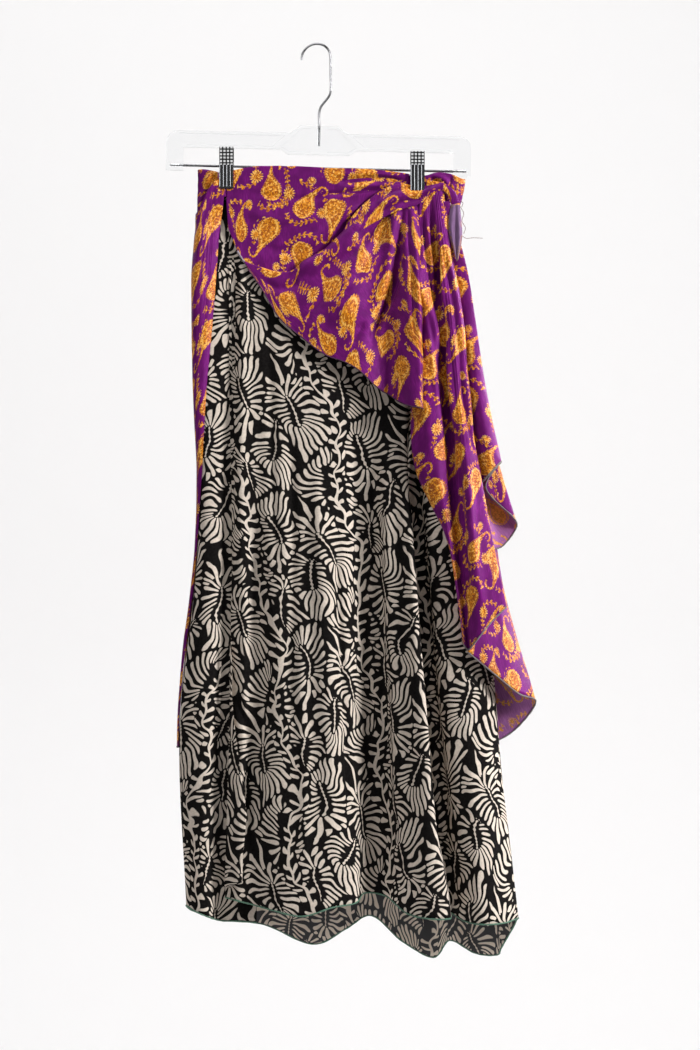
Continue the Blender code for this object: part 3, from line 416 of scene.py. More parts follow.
# %% Smooth curve


def place(x, y, drop):
    """A point in metres from x, y and the drop below the hook in millimetres."""
    return Vector((x, y, -drop)) * MM


def smooth_path(points, at):
    """A point on the smooth curve through the points; at counts them from 0."""
    last = len(points) - 1
    at = min(max(at, 0.0), float(last))
    first = min(int(at), last - 1)
    part = at - first
    near, far = points[first], points[first + 1]
    before = points[first - 1] if first > 0 else near * 2 - far
    after = points[first + 2] if first + 2 <= last else far * 2 - near
    step_in = max((near - before).length, 1e-9) ** 0.5
    step = max((far - near).length, 1e-9) ** 0.5
    step_out = max((after - far).length, 1e-9) ** 0.5
    slope_near = ((near - before) / step_in - (far - before) / (step_in + step)
                  + (far - near) / step) * step
    slope_far = ((far - near) / step - (after - near) / (step + step_out)
                 + (after - far) / step_out) * step
    square, cube = part * part, part * part * part
    return (near * (2 * cube - 3 * square + 1) + slope_near * (cube - 2 * square + part)
            + far * (3 * square - 2 * cube) + slope_far * (cube - square))


square_corner = [place(0, 0, 0), place(10, 0, 0), place(10, 0, 10)]
print("half way to a square corner, mm:", [round(value / MM, 1) for value in
                                           smooth_path(square_corner, 0.5)])

# %% [markdown]
# ## From a table to lines of points
#
# Each kind of table has a reader that turns its rows into lines of points in metres, so the
# steps after it need not know how the piece was written down.

# %% Table readers


def between(rows, at, column=1):
    """Straight interpolation in a table whose rows start with their position."""
    if at <= rows[0][0]:
        return rows[0][column]
    for low, high in zip(rows, rows[1:]):
        if at <= high[0]:
            part = (at - low[0]) / (high[0] - low[0])
            return low[column] + (high[column] - low[column]) * part
    return rows[-1][column]


def fold_lines(table):
    """The stations of each fold line as points."""
    lines = []
    for _, top, hem, xs, ys in table:
        last = len(xs) - 1
        lines.append([place(x, y, top + (hem - top) * step / last)
                      for step, (x, y) in enumerate(zip(xs, ys))])
    return lines


def rib_lines(table):
    """The top, middle and foot of each rib as points."""
    return [[place(*point) for point in row[1:]] for row in table]


def band_lines(table):
    """The top and foot of each upright of the waistband as points."""
    return [[place(x, y, top), place(x, y, foot)] for _, x, top, foot, y in table]


front_lines = fold_lines(FRONT_FOLDS)
back_lines = fold_lines(BACK_FOLDS)
print("stations of the black layer:", sum(len(line) for line in front_lines + back_lines))

# %% [markdown]
# ## From lines to a grid of points
#
# `cloth_grid` samples the lines row by row. `push_out` moves the samples along the cloth's
# own normal, which is how creases are added: a crease is only a number of millimetres for
# each sample, so many of them can be added up before the cloth moves once.

# %% Grids


def cloth_point(lines, fold, down):
    """A point of the cloth: fold counts its lines from 0, down runs 0 to 1."""
    row = [smooth_path(line, down * (len(line) - 1)) for line in lines]
    return smooth_path(row, fold)


def lifted(lines, fold, down, lift, side=1.0):
    """A point moved out from the cloth by lift millimetres, square to it."""
    tiny = 0.01
    across = (cloth_point(lines, min(fold + tiny, len(lines) - 1), down)
              - cloth_point(lines, max(fold - tiny, 0.0), down))
    along = (cloth_point(lines, fold, min(down + tiny, 1.0))
             - cloth_point(lines, fold, max(down - tiny, 0.0)))
    out = across.cross(along).normalized() * side
    return cloth_point(lines, fold, down) + out * (lift * MM)


def cloth_grid(lines, columns, rows):
    """Samples of the cloth as an array: row, column, xyz."""
    folds = len(lines) - 1
    grid = []
    for row in range(rows + 1):
        down = row / rows
        across = [smooth_path(line, down * (len(line) - 1)) for line in lines]
        grid.append([smooth_path(across, folds * column / columns) for column in range(columns + 1)])
    return np.array(grid)


def surface_grid(surface, columns, rows):
    """Samples of surface(across, down), both from 0 to 1."""
    return np.array([[surface(column / columns, row / rows) for column in range(columns + 1)]
                     for row in range(rows + 1)])


def grid_normals(grid):
    """Unit outward normals; columns run left to right for someone who faces the cloth."""
    down, across = np.gradient(grid, axis=(0, 1))
    normal = np.cross(down, across)
    return normal / np.maximum(np.linalg.norm(normal, axis=2, keepdims=True), 1e-12)


def push_out(grid, amount):
    """Samples moved along their normals by amount, an array in millimetres."""
    return grid + grid_normals(grid) * (amount * MM)[..., None]


def arc_lengths(grid):
    """Distance across from the middle column and down from the top row, in metres."""
    across = np.linalg.norm(np.diff(grid, axis=1), axis=2)
    across = np.concatenate([np.zeros((len(grid), 1)), np.cumsum(across, axis=1)], axis=1)
    across -= across[:, across.shape[1] // 2][:, None]
    down = np.linalg.norm(np.diff(grid, axis=0), axis=2)
    down = np.concatenate([np.zeros((1, grid.shape[1])), np.cumsum(down, axis=0)], axis=0)
    return across, down


hem_round = arc_lengths(cloth_grid(front_lines, 40, 4))[0][-1]
print("black front round its hem, mm:", round(float(hem_round[-1] - hem_round[0]) / MM))

# %% [markdown]
# ## Creases
#
# Cloth that hangs from two clips creases in three ways: soft folds that run down and wander
# a little, fine pleats that fade away from where they are gathered, and small uneven
# wrinkles everywhere. Each function gives an array of millimetres for `push_out`. A bump map
# would be cheaper, but it leaves the outline of the hem straight.

# %% Random creases


def shares(grid):
    """Part across and part down of each sample, both from 0 to 1."""
    rows, columns = grid.shape[:2]
    return np.meshgrid(np.linspace(0, 1, columns), np.linspace(0, 1, rows))


def soft_step(low, high, value):
    """0 below low, 1 above high, smooth in between."""
    part = np.clip((value - low) / (high - low), 0, 1)
    return part * part * (3 - 2 * part)


def long_creases(grid, count, height, width, seed):
    """Soft ridges and troughs that run down the cloth and wander."""
    across, down = shares(grid)
    pick = random.Random(seed)
    total = np.zeros(across.shape)
    for index in range(count):
        centre = (index + pick.uniform(0.2, 0.8)) / count
        wander = pick.uniform(-0.03, 0.03) * np.sin(down * pick.uniform(3, 7) + pick.uniform(0, 6))
        wide = width * pick.uniform(0.6, 1.5)
        top = pick.uniform(0.0, 0.35)
        foot = pick.uniform(0.65, 1.0)
        fade = soft_step(top, top + 0.15, down) * (1 - soft_step(foot - 0.15, foot, down))
        shape = np.exp(-((across - centre - wander) / wide) ** 2)
        total += height * pick.uniform(0.4, 1.0) * pick.choice((-1, 1)) * shape * fade
    return total


def pleats(grid, count, height, fade_at, seed):
    """Round pleats with sharp valleys; fade_at gives their height down the cloth."""
    power = 0.8           # under 1, crests are round and valleys sharp
    across, down = shares(grid)
    pick = random.Random(seed)
    phase = sum(pick.uniform(0.2, 0.5) * np.sin(across * turns * 2 * math.pi + pick.uniform(0, 6))
                for turns in (1.3, 2.7, 4.1))
    turn = math.pi * (count * across + phase + 0.15 * np.sin(down * 5 + seed))
    ridge = 2 * np.abs(np.sin(turn)) ** power - 1
    return height * ridge * np.interp(down, *zip(*fade_at))


def wrinkles(grid, height, size, seed):
    """Small uneven wrinkles, longer down than across."""
    wide, tall = size
    flat = grid.reshape(-1, 3)
    values = [noise.noise(Vector((point[0] / wide / MM, point[1] / wide / MM + seed * 7.3,
                                  point[2] / tall / MM))) for point in flat]
    return height * np.array(values).reshape(grid.shape[:2])


print("a soft step is at", float(soft_step(0, 1, 0.25)), "a quarter of the way along")

# %% [markdown]
# ## Creases drawn along paths
#
# The creases that give a piece its character are not random. Each is a path in x and drop
# with a height and a width, like one stroke of a soft brush, and it fades at both ends.

# %% Creases along a path
PATH_STEPS = 30


def placed_creases(grid, table):
    """Creases from a table: each follows a smooth path and fades at both ends."""
    x, drop = grid[..., 0] / MM, -grid[..., 2] / MM
    total = np.zeros(x.shape)
    for _, points, height, width in table:
        route = [Vector((*point, 0)) for point in points]
        path = [smooth_path(route, at * (len(route) - 1) / PATH_STEPS)
                for at in range(PATH_STEPS + 1)]
        nearest, along = np.full(x.shape, 1e9), np.zeros(x.shape)
        for step, (near, far) in enumerate(zip(path, path[1:])):
            run = far - near
            part = ((x - near.x) * run.x + (drop - near.y) * run.y) / run.length_squared
            part = np.clip(part, 0, 1)
            away = np.hypot(x - near.x - part * run.x, drop - near.y - part * run.y)
            closer = away < nearest
            nearest = np.where(closer, away, nearest)
            along = np.where(closer, (step + part) / PATH_STEPS, along)
        fade = soft_step(0, 0.2, along) * (1 - soft_step(0.75, 1, along))
        total += height * fade * np.exp(-(nearest / width) ** 2)
    return total


def free_edges(grid, left=0.02, right=0.02):
    """1 in the cloth, fading to 0 at its left and right ends where it meets its neighbour."""
    across, _ = shares(grid)
    total = np.ones(across.shape)
    if left:
        total *= soft_step(0, left, across)
    if right:
        total *= 1 - soft_step(1 - right, 1, across)
    return total


flat_square = np.array([[place(x, 0, drop) for x in (0, 10, 20)] for drop in (0, 10, 20)])
one_crease = placed_creases(flat_square, (("test", ((10, 0), (10, 20)), 5.0, 4.0),))
print("a 5 mm crease in a flat square reaches", round(float(one_crease.max()), 2), "mm")

# %% [markdown]
# ## From a grid to a thin sheet
#
# The grid becomes a bmesh grid whose UV map holds the arc lengths in metres, so the print
# keeps its size however the cloth flares. A thin wall gives it an edge, with the wrong side
# of the cloth on its inner faces.

# %% Sheet maker
CLOTH = 0.45              # thickness of both cloths, mm
BAND = 0.8                # thickness of the waistband, mm


def grid_mesh(name, grid, turn=0.0, shift=(0.0, 0.0)):
    """A mesh over the grid, with its arc lengths, turned and moved, as UV map."""
    rows, columns = grid.shape[0] - 1, grid.shape[1] - 1
    across, down = arc_lengths(grid)
    turn = math.radians(turn)
    u = across * math.cos(turn) - down * math.sin(turn) + shift[0] * MM
    v = across * math.sin(turn) + down * math.cos(turn) + shift[1] * MM
    bm = bmesh.new()
    bmesh.ops.create_grid(bm, x_segments=columns, y_segments=rows, size=0.5)
    index = {vert: (round((0.5 - vert.co.y) * rows), round((vert.co.x + 0.5) * columns))
             for vert in bm.verts}
    for vert, (row, column) in index.items():
        vert.co = grid[row, column]
    layer = bm.loops.layers.uv.new("cloth")
    for face in bm.faces:
        for loop in face.loops:
            row, column = index[loop.vert]
            loop[layer].uv = (u[row, column], v[row, column])
    bmesh.ops.remove_doubles(bm, verts=bm.verts, dist=1e-6)
    mesh = bpy.data.meshes.new(name)
    bm.to_mesh(mesh)
    bm.free()
    mesh.shade_smooth()
    return mesh


def flat_size(grid):
    """Width, length and area of the cloth of a grid when it is laid flat, in metres."""
    across, down = arc_lengths(grid)
    width = float((across[:, -1] - across[:, 0]).max())
    length = float(down[-1].max())
    one = np.cross(grid[1:, :-1] - grid[:-1, :-1], grid[:-1, 1:] - grid[:-1, :-1])
    two = np.cross(grid[1:, :-1] - grid[1:, 1:], grid[:-1, 1:] - grid[1:, 1:])
    area = float((np.linalg.norm(one, axis=2).sum() + np.linalg.norm(two, axis=2).sum()) / 2)
    return width, length, area


def cloth_piece(name, node, grid, cloth, turn=0.0, shift=(0.0, 0.0),
                thick=CLOTH):
    """A sheet of cloth on the grid, which stands for its CAD node."""
    slot, right_side, wrong_side = cloth
    piece = bpy.data.objects.new(name, grid_mesh(name, grid, turn, shift))
    scene.collection.objects.link(piece)
    piece.data.materials.append(right_side)
    piece.data.materials.append(wrong_side)
    wall = piece.modifiers.new("wall", "SOLIDIFY")
    wall.thickness = thick * MM
    wall.offset = 0.0
    wall.material_offset = 1
    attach(piece, "root")
    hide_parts(node)
    width, length, area = flat_size(grid)
    print(f"{name}: {width / MM:.0f} x {length / MM:.0f} mm laid flat, {area:.4f} square metres")


print("cloth", CLOTH, "mm, waistband", BAND, "mm")

# %% [markdown]
# ## Overlocked edges
#
# An overlock seam wraps the raw edge in thread. It could be a curve with a round bevel, but a
# curve cannot be knobbly. Here the last row of a cloth's grid is the middle of a thin tube
# whose radius swings a little, and slanted windings come from its material.

# %% Serged edge
TUBE_SIDES = 8


def serged_edge(name, line, radius, finish):
    """An overlocked edge: a thin, slightly knobbly tube along the border of a cloth."""
    centre = np.array(line)
    run = np.gradient(centre, axis=0)
    run /= np.maximum(np.linalg.norm(run, axis=1, keepdims=True), 1e-9)
    side = np.cross(run, (0.0, 1.0, 0.0))
    side /= np.maximum(np.linalg.norm(side, axis=1, keepdims=True), 1e-9)
    up = np.cross(run, side)
    along = np.arange(len(centre))
    knobs = 1 + 0.16 * np.sin(along * 1.9) + 0.1 * np.sin(along * 0.83)
    turns = np.linspace(0, 2 * math.pi, TUBE_SIDES + 1)[None, :, None]
    outwards = np.cos(turns) * side[:, None] + np.sin(turns) * up[:, None]
    grid = centre[:, None] + (radius * MM * knobs)[:, None, None] * outwards
    piece = bpy.data.objects.new(name, grid_mesh(name, grid))
    bm = bmesh.new()
    bm.from_mesh(piece.data)
    open_ends = [edge for edge in bm.edges if edge.is_boundary]
    bmesh.ops.holes_fill(bm, edges=open_ends, sides=TUBE_SIDES)
    bmesh.ops.recalc_face_normals(bm, faces=bm.faces)
    bm.to_mesh(piece.data)
    bm.free()
    scene.collection.objects.link(piece)
    piece.data.materials.append(finish)
    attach(piece, "root")
    print(f"{name}: {np.linalg.norm(np.diff(centre, axis=0), axis=1).sum() / MM:.0f} mm long")


print("edge tubes are round with", TUBE_SIDES, "sides")

# %% [markdown]
# ## Node helpers
#
# The prints are built from a few node groups. These helpers keep each line of a shader
# close to the sum that it stands for.

# %% Shader helpers


class Nodes:
    """Short names for the shader nodes of one tree."""

    def __init__(self, tree):
        self.tree = tree

    def node(self, kind, **values):
        """A new node with its settings."""
        made = self.tree.nodes.new(kind)
        for key, value in values.items():
            setattr(made, key, value)
        return made

    def put(self, socket, value):
        """Link a socket to the input, or set a plain value on it."""
        if isinstance(value, bpy.types.NodeSocket):
            self.tree.links.new(value, socket)
        else:
            socket.default_value = value

    def math(self, operation, first, second=None, third=None):
        """One Math node."""
        made = self.node("ShaderNodeMath", operation=operation)
        for socket, value in zip(made.inputs, (first, second, third)):
            if value is not None:
                self.put(socket, value)
        return made.outputs[0]

    def vector(self, operation, first, second=None, scale=None):
        """One Vector Math node; a length comes out as a value."""
        made = self.node("ShaderNodeVectorMath", operation=operation)
        self.put(made.inputs[0], first)
        if second is not None:
            self.put(made.inputs[1], second)
        if scale is not None:
            self.put(made.inputs["Scale"], scale)
        return made.outputs["Value" if operation == "LENGTH" else "Vector"]

    def parts(self, vector):
        """The three parts of a vector."""
        made = self.node("ShaderNodeSeparateXYZ")
        self.put(made.inputs[0], vector)
        return made.outputs

    def join(self, x, y, z=0.0):
        """A vector from three values."""
        made = self.node("ShaderNodeCombineXYZ")
        for socket, value in zip(made.inputs, (x, y, z)):
            self.put(socket, value)
        return made.outputs[0]

    def turned(self, vector, angle):
        """A vector turned about Z by an angle in radians."""
        made = self.node("ShaderNodeVectorRotate", rotation_type="Z_AXIS")
        self.put(made.inputs["Vector"], vector)
        self.put(made.inputs["Angle"], angle)
        return made.outputs[0]

    def noise(self, vector, scale, detail=2.0):
        """A noise texture, whose values lie round 0.5."""
        made = self.node("ShaderNodeTexNoise")
        self.put(made.inputs["Vector"], vector)
        made.inputs["Scale"].default_value = scale
        made.inputs["Detail"].default_value = detail
        return made

    def chance(self, number):
        """A value from 0 to 1 that looks random, one for each number."""
        made = self.node("ShaderNodeTexWhiteNoise", noise_dimensions="1D")
        self.put(made.inputs["W"], number)
        return made.outputs["Value"]

    def bump(self, shader, height, strength, distance):
        """Relief on a shader; the distance is in metres."""
        made = self.node("ShaderNodeBump")
        made.inputs["Strength"].default_value = strength
        made.inputs["Distance"].default_value = distance
        self.put(made.inputs["Height"], height)
        self.put(shader.inputs["Normal"], made.outputs[0])

    def step(self, value, low, high):
        """0 below low, 1 above high, smooth in between."""
        made = self.node("ShaderNodeMapRange", interpolation_type="SMOOTHSTEP")
        self.put(made.inputs["Value"], value)
        self.put(made.inputs["From Min"], low)
        self.put(made.inputs["From Max"], high)
        return made.outputs["Result"]

    def choose(self, factor, first, second, kind="FLOAT"):
        """Mix of two values, vectors or colours."""
        made = self.node("ShaderNodeMix", data_type=kind)
        a, b, out = {"FLOAT": (2, 3, 0), "VECTOR": (4, 5, 1), "RGBA": (6, 7, 2)}[kind]
        self.put(made.inputs[0], factor)
        self.put(made.inputs[a], first)
        self.put(made.inputs[b], second)
        return made.outputs[out]

    def group(self, tree, **values):
        """A node group with its inputs, and its outputs by name."""
        made = self.node("ShaderNodeGroup", node_tree=tree)
        for key, value in values.items():
            self.put(made.inputs[key.replace("_", " ")], value)
        return made.outputs


def new_group(name, inputs, outputs):
    """An empty node group: its tree, its helper, its input and its output sockets."""
    tree = bpy.data.node_groups.new(name, "ShaderNodeTree")
    for socket_name, kind in inputs:
        tree.interface.new_socket(socket_name, in_out="INPUT", socket_type=f"NodeSocket{kind}")
    for socket_name, kind in outputs:
        tree.interface.new_socket(socket_name, in_out="OUTPUT", socket_type=f"NodeSocket{kind}")
    nodes = Nodes(tree)
    entry = tree.nodes.new("NodeGroupInput")
    result = tree.nodes.new("NodeGroupOutput")
    return tree, nodes, entry.outputs, result.inputs


print("shader helpers:", [name for name in vars(Nodes) if not name.startswith("_")])

# %% [markdown]
# ## A repeat that drops by half
#
# Both prints repeat on a half-drop lattice: the next column starts half a repeat lower.
# `local_point` brings a point of the cloth into the copy of a motif that is nearest to it,
# and turns it so that the motif's own axis is x.

# %% Half-drop repeat


def local_point(name, width, height):
    """Group: a point relative to the nearest copy of a motif, in millimetres."""
    tree, n, given, result = new_group(
        name, (("Point", "Vector"), ("Centre", "Vector"), ("Turn", "Float")), (("Local", "Vector"),))
    x, y, _ = n.parts(n.vector("SUBTRACT", given["Point"], given["Centre"]))
    column = n.math("ROUND", n.math("DIVIDE", x, width))
    x = n.math("MULTIPLY_ADD", column, -width, x)
    y = n.math("MULTIPLY_ADD", column, -height / 2, y)
    row = n.math("ROUND", n.math("DIVIDE", y, height))
    y = n.math("MULTIPLY_ADD", row, -height, y)
    turn = n.math("MULTIPLY", given["Turn"], -1.0)
    n.put(result["Local"], n.turned(n.join(x, y), turn))
    return tree


def cloth_millimetres(n):
    """The UV map as a point in millimetres."""
    uv = n.node("ShaderNodeUVMap", uv_map="cloth")
    return n.vector("SCALE", uv.outputs[0], scale=1 / MM)


def wavering(n, point, flat, size, shift):
    """A point moved by soft noise, so that copies of a motif differ a little."""
    bend = n.noise(flat, 1 / size, 1.0).outputs["Color"]
    bend = n.vector("SCALE", n.vector("SUBTRACT", bend, (0.5, 0.5, 0.5)), scale=shift)
    return n.vector("ADD", point, bend)


print("a half-drop column starts", 1 / 2, "of a repeat lower than the one before it")

# %% [markdown]
# ## The leaf print
#
# Palm clusters share the cloth between them, and branching stems run down between those. An
# image could hold the print, but it would blur close up. Here each stroke is worked out where
# it is looked at. First, each point has to know which cluster is nearest to it.

# %% Nearest cluster
LEAF_REPEAT = (102.0, 122.0)
LEAF_SCALE = 1.3
# centre x and y, turn in degrees, size, length against width
LEAF_CLUSTERS = (
    (4, 10, 76, 1.15, 1.5),
    (60, 50, 262, 1.0, 1.45),
    (48, 4, 100, 0.8, 1.4),
    (20, 74, 284, 0.9, 1.4),
    (82, 98, 110, 0.85, 1.4),
)
STEM_AT = (32.0, 0.0)
RIB_HALF = 14.0           # half the length of a cluster's rib, mm
EDGE_BLUR = 0.25          # half the width of a stroke's soft edge, mm


def nearest_cluster():
    """Group: keep the nearer of two clusters and the distance to the second one."""
    tree, n, given, result = new_group(
        "nearest cluster",
        (("Reach", "Float"), ("Second", "Float"), ("Local", "Vector"), ("Kind", "Float"),
         ("New Local", "Vector"), ("New Size", "Float"), ("New Stretch", "Float"),
         ("New Kind", "Float")),
        (("Reach", "Float"), ("Second", "Float"), ("Local", "Vector"), ("Kind", "Float")))
    x, y, _ = n.parts(given["New Local"])
    squeezed = n.join(n.math("DIVIDE", x, given["New Stretch"]), y)
    reach = n.math("DIVIDE", n.vector("LENGTH", squeezed), given["New Size"])
    closer = n.math("LESS_THAN", reach, given["Reach"])
    n.put(result["Second"], n.math("MINIMUM", given["Second"],
                                   n.math("MAXIMUM", given["Reach"], reach)))
    n.put(result["Reach"], n.math("MINIMUM", given["Reach"], reach))
    n.put(result["Local"], n.choose(closer, given["Local"], given["New Local"], "VECTOR"))
    n.put(result["Kind"], n.choose(closer, given["Kind"], given["New Kind"]))
    return tree


print("leaf print:", len(LEAF_CLUSTERS), "clusters in", LEAF_REPEAT, "mm, times", LEAF_SCALE)

# %% [markdown]
# ### Strokes of a cluster
#
# Strokes leave a short rib square to it and fan out round its two ends. The sum of the
# distances to the rib's ends tells how far out a point is, and their difference tells which
# stroke it is on. Strokes droop a little, differ in length by chance, and end round before
# the next cluster begins. Further out, a second set fills the gaps between the first.

# %% Leaf strokes


def round_stroke(n, across, end, half_width):
    """1 inside a stroke with round ends: across and past its end in millimetres."""
    past = n.math("MAXIMUM", end, 0.0)
    distance = n.vector("LENGTH", n.join(across, past))
    return n.step(n.math("SUBTRACT", half_width, distance), -EDGE_BLUR, EDGE_BLUR)


def leaf_strokes():
    """Group: strokes that leave a short rib square to it and fan out, round at both ends."""
    tree, n, given, result = new_group(
        "leaf strokes", (("Local", "Vector"), ("Edge", "Float"), ("Kind", "Float")),
        (("Stroke", "Float"),))
    a, b, _ = n.parts(given["Local"])
    side = n.math("SIGN", b)
    near = n.vector("LENGTH", n.vector("SUBTRACT", given["Local"], (RIB_HALF, 0, 0)))
    far = n.vector("LENGTH", n.vector("ADD", given["Local"], (RIB_HALF, 0, 0)))
    share = n.math("DIVIDE", n.math("SUBTRACT", far, near), 2 * RIB_HALF)
    share = n.math("MINIMUM", n.math("MAXIMUM", share, -0.99999), 0.99999)
    turn = n.math("ARCCOSINE", share)
    away = n.math("SUBTRACT", n.math("MULTIPLY", n.math("ADD", near, far), 0.5), RIB_HALF)
    count = 11.0
    droop = n.math("MINIMUM", n.math("MULTIPLY", away, 0.028), 0.6)
    density = n.math("MULTIPLY_ADD", droop, share, 1.0)
    turn = n.math("MULTIPLY_ADD", droop, n.math("SINE", turn), turn)
    spread = n.math("MULTIPLY", n.math("SQRT", n.math("MULTIPLY", near, far)), math.pi / count)
    spread = n.math("DIVIDE", spread, density)
    strokes = None
    for shift, first in ((0.0, 0.0), (0.5, 9.0)):
        line = n.math("MULTIPLY_ADD", turn, count / math.pi, shift)
        number = n.math("FLOOR", line)
        middle = n.math("SUBTRACT", n.math("SUBTRACT", line, number), 0.5)
        across = n.math("MULTIPLY", middle, spread)
        mark = n.math("MULTIPLY_ADD", number, 7.0, n.math("MULTIPLY", side, 3.0))
        mark = n.math("ADD", mark, n.math("MULTIPLY_ADD", given["Kind"], 91.0, shift * 37))
        chance = n.chance(mark)
        past_edge = n.math("SUBTRACT", n.math("MULTIPLY_ADD", chance, 2.2, 1.7), given["Edge"])
        from_rib = n.math("SUBTRACT", n.math("MULTIPLY_ADD", chance, 1.6, 1.5), away)
        if first:
            from_rib = n.math("SUBTRACT", n.math("MULTIPLY_ADD", chance, 2.0, first), spread)
            from_rib = n.math("MULTIPLY", from_rib, 3.0)
        past = n.math("MAXIMUM", past_edge, from_rib)
        swell = n.step(away, 0.0, 16.0)
        half_width = n.math("MULTIPLY_ADD", swell, 0.75, n.math("MULTIPLY_ADD", chance, 0.5, 0.9))
        widest = n.math("MULTIPLY", spread, 0.31)
        if first:
            widest = n.math("MULTIPLY_ADD", spread, 0.5, -3.0)
        half_width = n.math("MINIMUM", half_width, widest)
        stroke = round_stroke(n, across, past, half_width)
        strokes = stroke if strokes is None else n.math("MAXIMUM", strokes, stroke)
    rib_end = n.math("MAXIMUM", n.math("SUBTRACT", n.math("ABSOLUTE", a), RIB_HALF), 0.0)
    rib = n.vector("LENGTH", n.join(rib_end, b))
    teeth = n.math("MULTIPLY", n.math("SINE", n.math("MULTIPLY", a, 1.6)), 0.35)
    rib = n.step(n.math("SUBTRACT", n.math("ADD", teeth, 0.75), rib), -EDGE_BLUR, EDGE_BLUR)
    rib = n.math("MULTIPLY", rib, n.math("GREATER_THAN", given["Edge"], 2.0))
    n.put(result["Stroke"], n.math("MAXIMUM", strokes, rib))
    return tree


print("a cluster's rib is", 2 * RIB_HALF * LEAF_SCALE, "mm long on the cloth")

# %% [markdown]
# ### Branching stem
#
# A wavy trunk with short twigs on both sides runs down each column of the repeat. The twigs
# lean upwards, and a few of them float free of the trunk.

# %% Branching stem


def branching_stem():
    """Group: a wavy stem with short side branches, and how far away it is."""
    tree, n, given, result = new_group(
        "branching stem", (("Local", "Vector"),), (("Stem", "Float"), ("Away", "Float")))
    x, y, _ = n.parts(given["Local"])
    repeat = LEAF_REPEAT[1]
    sway = n.math("MULTIPLY", n.math("SINE", n.math("MULTIPLY", y, 2 * math.pi / repeat)), 7.0)
    ripple = n.math("MULTIPLY", n.math("SINE", n.math("MULTIPLY", y, 10 * math.pi / repeat)), 1.6)
    off = n.math("SUBTRACT", n.math("SUBTRACT", x, sway), ripple)
    away = n.math("ABSOLUTE", off)
    swell = n.math("MULTIPLY_ADD", n.math("SINE", n.math("MULTIPLY", y, 6 * math.pi / repeat)), 0.5, 1.3)
    trunk = n.step(n.math("SUBTRACT", swell, away), -EDGE_BLUR, EDGE_BLUR)
    pitch = repeat / 13
    lean = n.math("MULTIPLY_ADD", n.math("SIGN", off), pitch * 0.25, n.math("MULTIPLY", away, 0.5))
    line = n.math("DIVIDE", n.math("ADD", y, lean), pitch)
    middle = n.math("SUBTRACT", n.math("FRACT", line), 0.5)
    across = n.math("MULTIPLY", middle, pitch * 0.9)
    side_mark = n.math("MULTIPLY", n.math("SIGN", off), 31.0)
    chance = n.chance(n.math("ADD", n.math("FLOOR", line), side_mark))
    past_end = n.math("SUBTRACT", away, n.math("MULTIPLY_ADD", chance, 4.5, 3.5))
    loose = n.math("MULTIPLY", n.math("GREATER_THAN", chance, 0.8), 4.5)
    past = n.math("MAXIMUM", past_end, n.math("SUBTRACT", loose, away))
    twig = round_stroke(n, across, past, n.math("MULTIPLY_ADD", n.step(away, 0.0, 9.0), 1.0, 1.1))
    n.put(result["Stem"], n.math("MAXIMUM", trunk, twig))
    n.put(result["Away"], away)
    return tree


print("the stem repeats every", LEAF_REPEAT[1] * LEAF_SCALE, "mm down the cloth")

# %% [markdown]
# ### The leaf print as one group
#
# The parts come together in one group, so that both sides of the cloth share it. The stem
# clears a lane for itself: strokes end where it is near.

# %% Whole leaf print


def leaf_print():
    """Group: the whole leaf print, 1 on the light strokes."""
    tree, n, given, result = new_group("leaf print", (("Point", "Vector"),), (("Light", "Float"),))
    width, height = LEAF_REPEAT
    flat = n.vector("SCALE", given["Point"], scale=1 / LEAF_SCALE)
    point = flat
    for size, shift in ((44.0, 24.0), (20.0, 9.0)):
        point = wavering(n, point, flat, size, shift)
    find = local_point("leaf repeat", width, height)
    keep = nearest_cluster()
    reach, second, local, kind_now = 99.0, 99.0, (0, 0, 0), 0.0
    for kind, (x, y, turn, size, stretch) in enumerate(LEAF_CLUSTERS):
        own = n.group(find, Point=point, Centre=(x, y, 0), Turn=math.radians(turn))["Local"]
        found = n.group(keep, Reach=reach, Second=second, Local=local, Kind=kind_now,
                        New_Local=own, New_Size=size * 25.0, New_Stretch=stretch,
                        New_Kind=float(kind))
        reach, second, local, kind_now = (found["Reach"], found["Second"], found["Local"],
                                          found["Kind"])
    edge = n.math("MULTIPLY", n.math("SUBTRACT", second, reach), 13.0)
    stem_local = n.group(find, Point=point, Centre=(*STEM_AT, 0), Turn=0.0)["Local"]
    stem = n.group(branching_stem(), Local=stem_local)
    edge = n.math("MINIMUM", edge, n.math("SUBTRACT", stem["Away"], 8.5))
    strokes = n.group(leaf_strokes(), Local=local, Edge=edge, Kind=kind_now)["Stroke"]
    n.put(result["Light"], n.math("MAXIMUM", strokes, stem["Stem"]))
    print("leaf print:", len(tree.nodes), "nodes")
    return tree


LEAF_PRINT = leaf_print()

# %% [markdown]
# ## The paisley print
#
# A paisley is a drop whose half width follows a curve along a bent centre line, with a
# spiky rim, a pale inner outline and a curled tail of beads. A Float Curve node holds the
# half width, so the drop's shape can be changed by eye.

# %% Paisley
SILK_REPEAT = (88.0, 104.0)
SILK_SCALE = 1.3
# centre x and y, turn in degrees, size
PAISLEYS = (
    (6, 2, 80, 0.95),
    (35, 30, 262, 0.9),
    (64, 34, 98, 0.95),
    (8, 64, 285, 0.9),
    (37, 68, 75, 1.0),
    (66, 100, 250, 0.85),
)
# centre x and y, size
DAISIES = ((24, 14, 0.85), (24, 69, 0.8), (53, 36, 0.8), (53, 87, 0.85), (79, 58, 0.8), (83, 103, 0.8),
           (15, 40, 0.6), (70, 66, 0.6), (46, 8, 0.6))
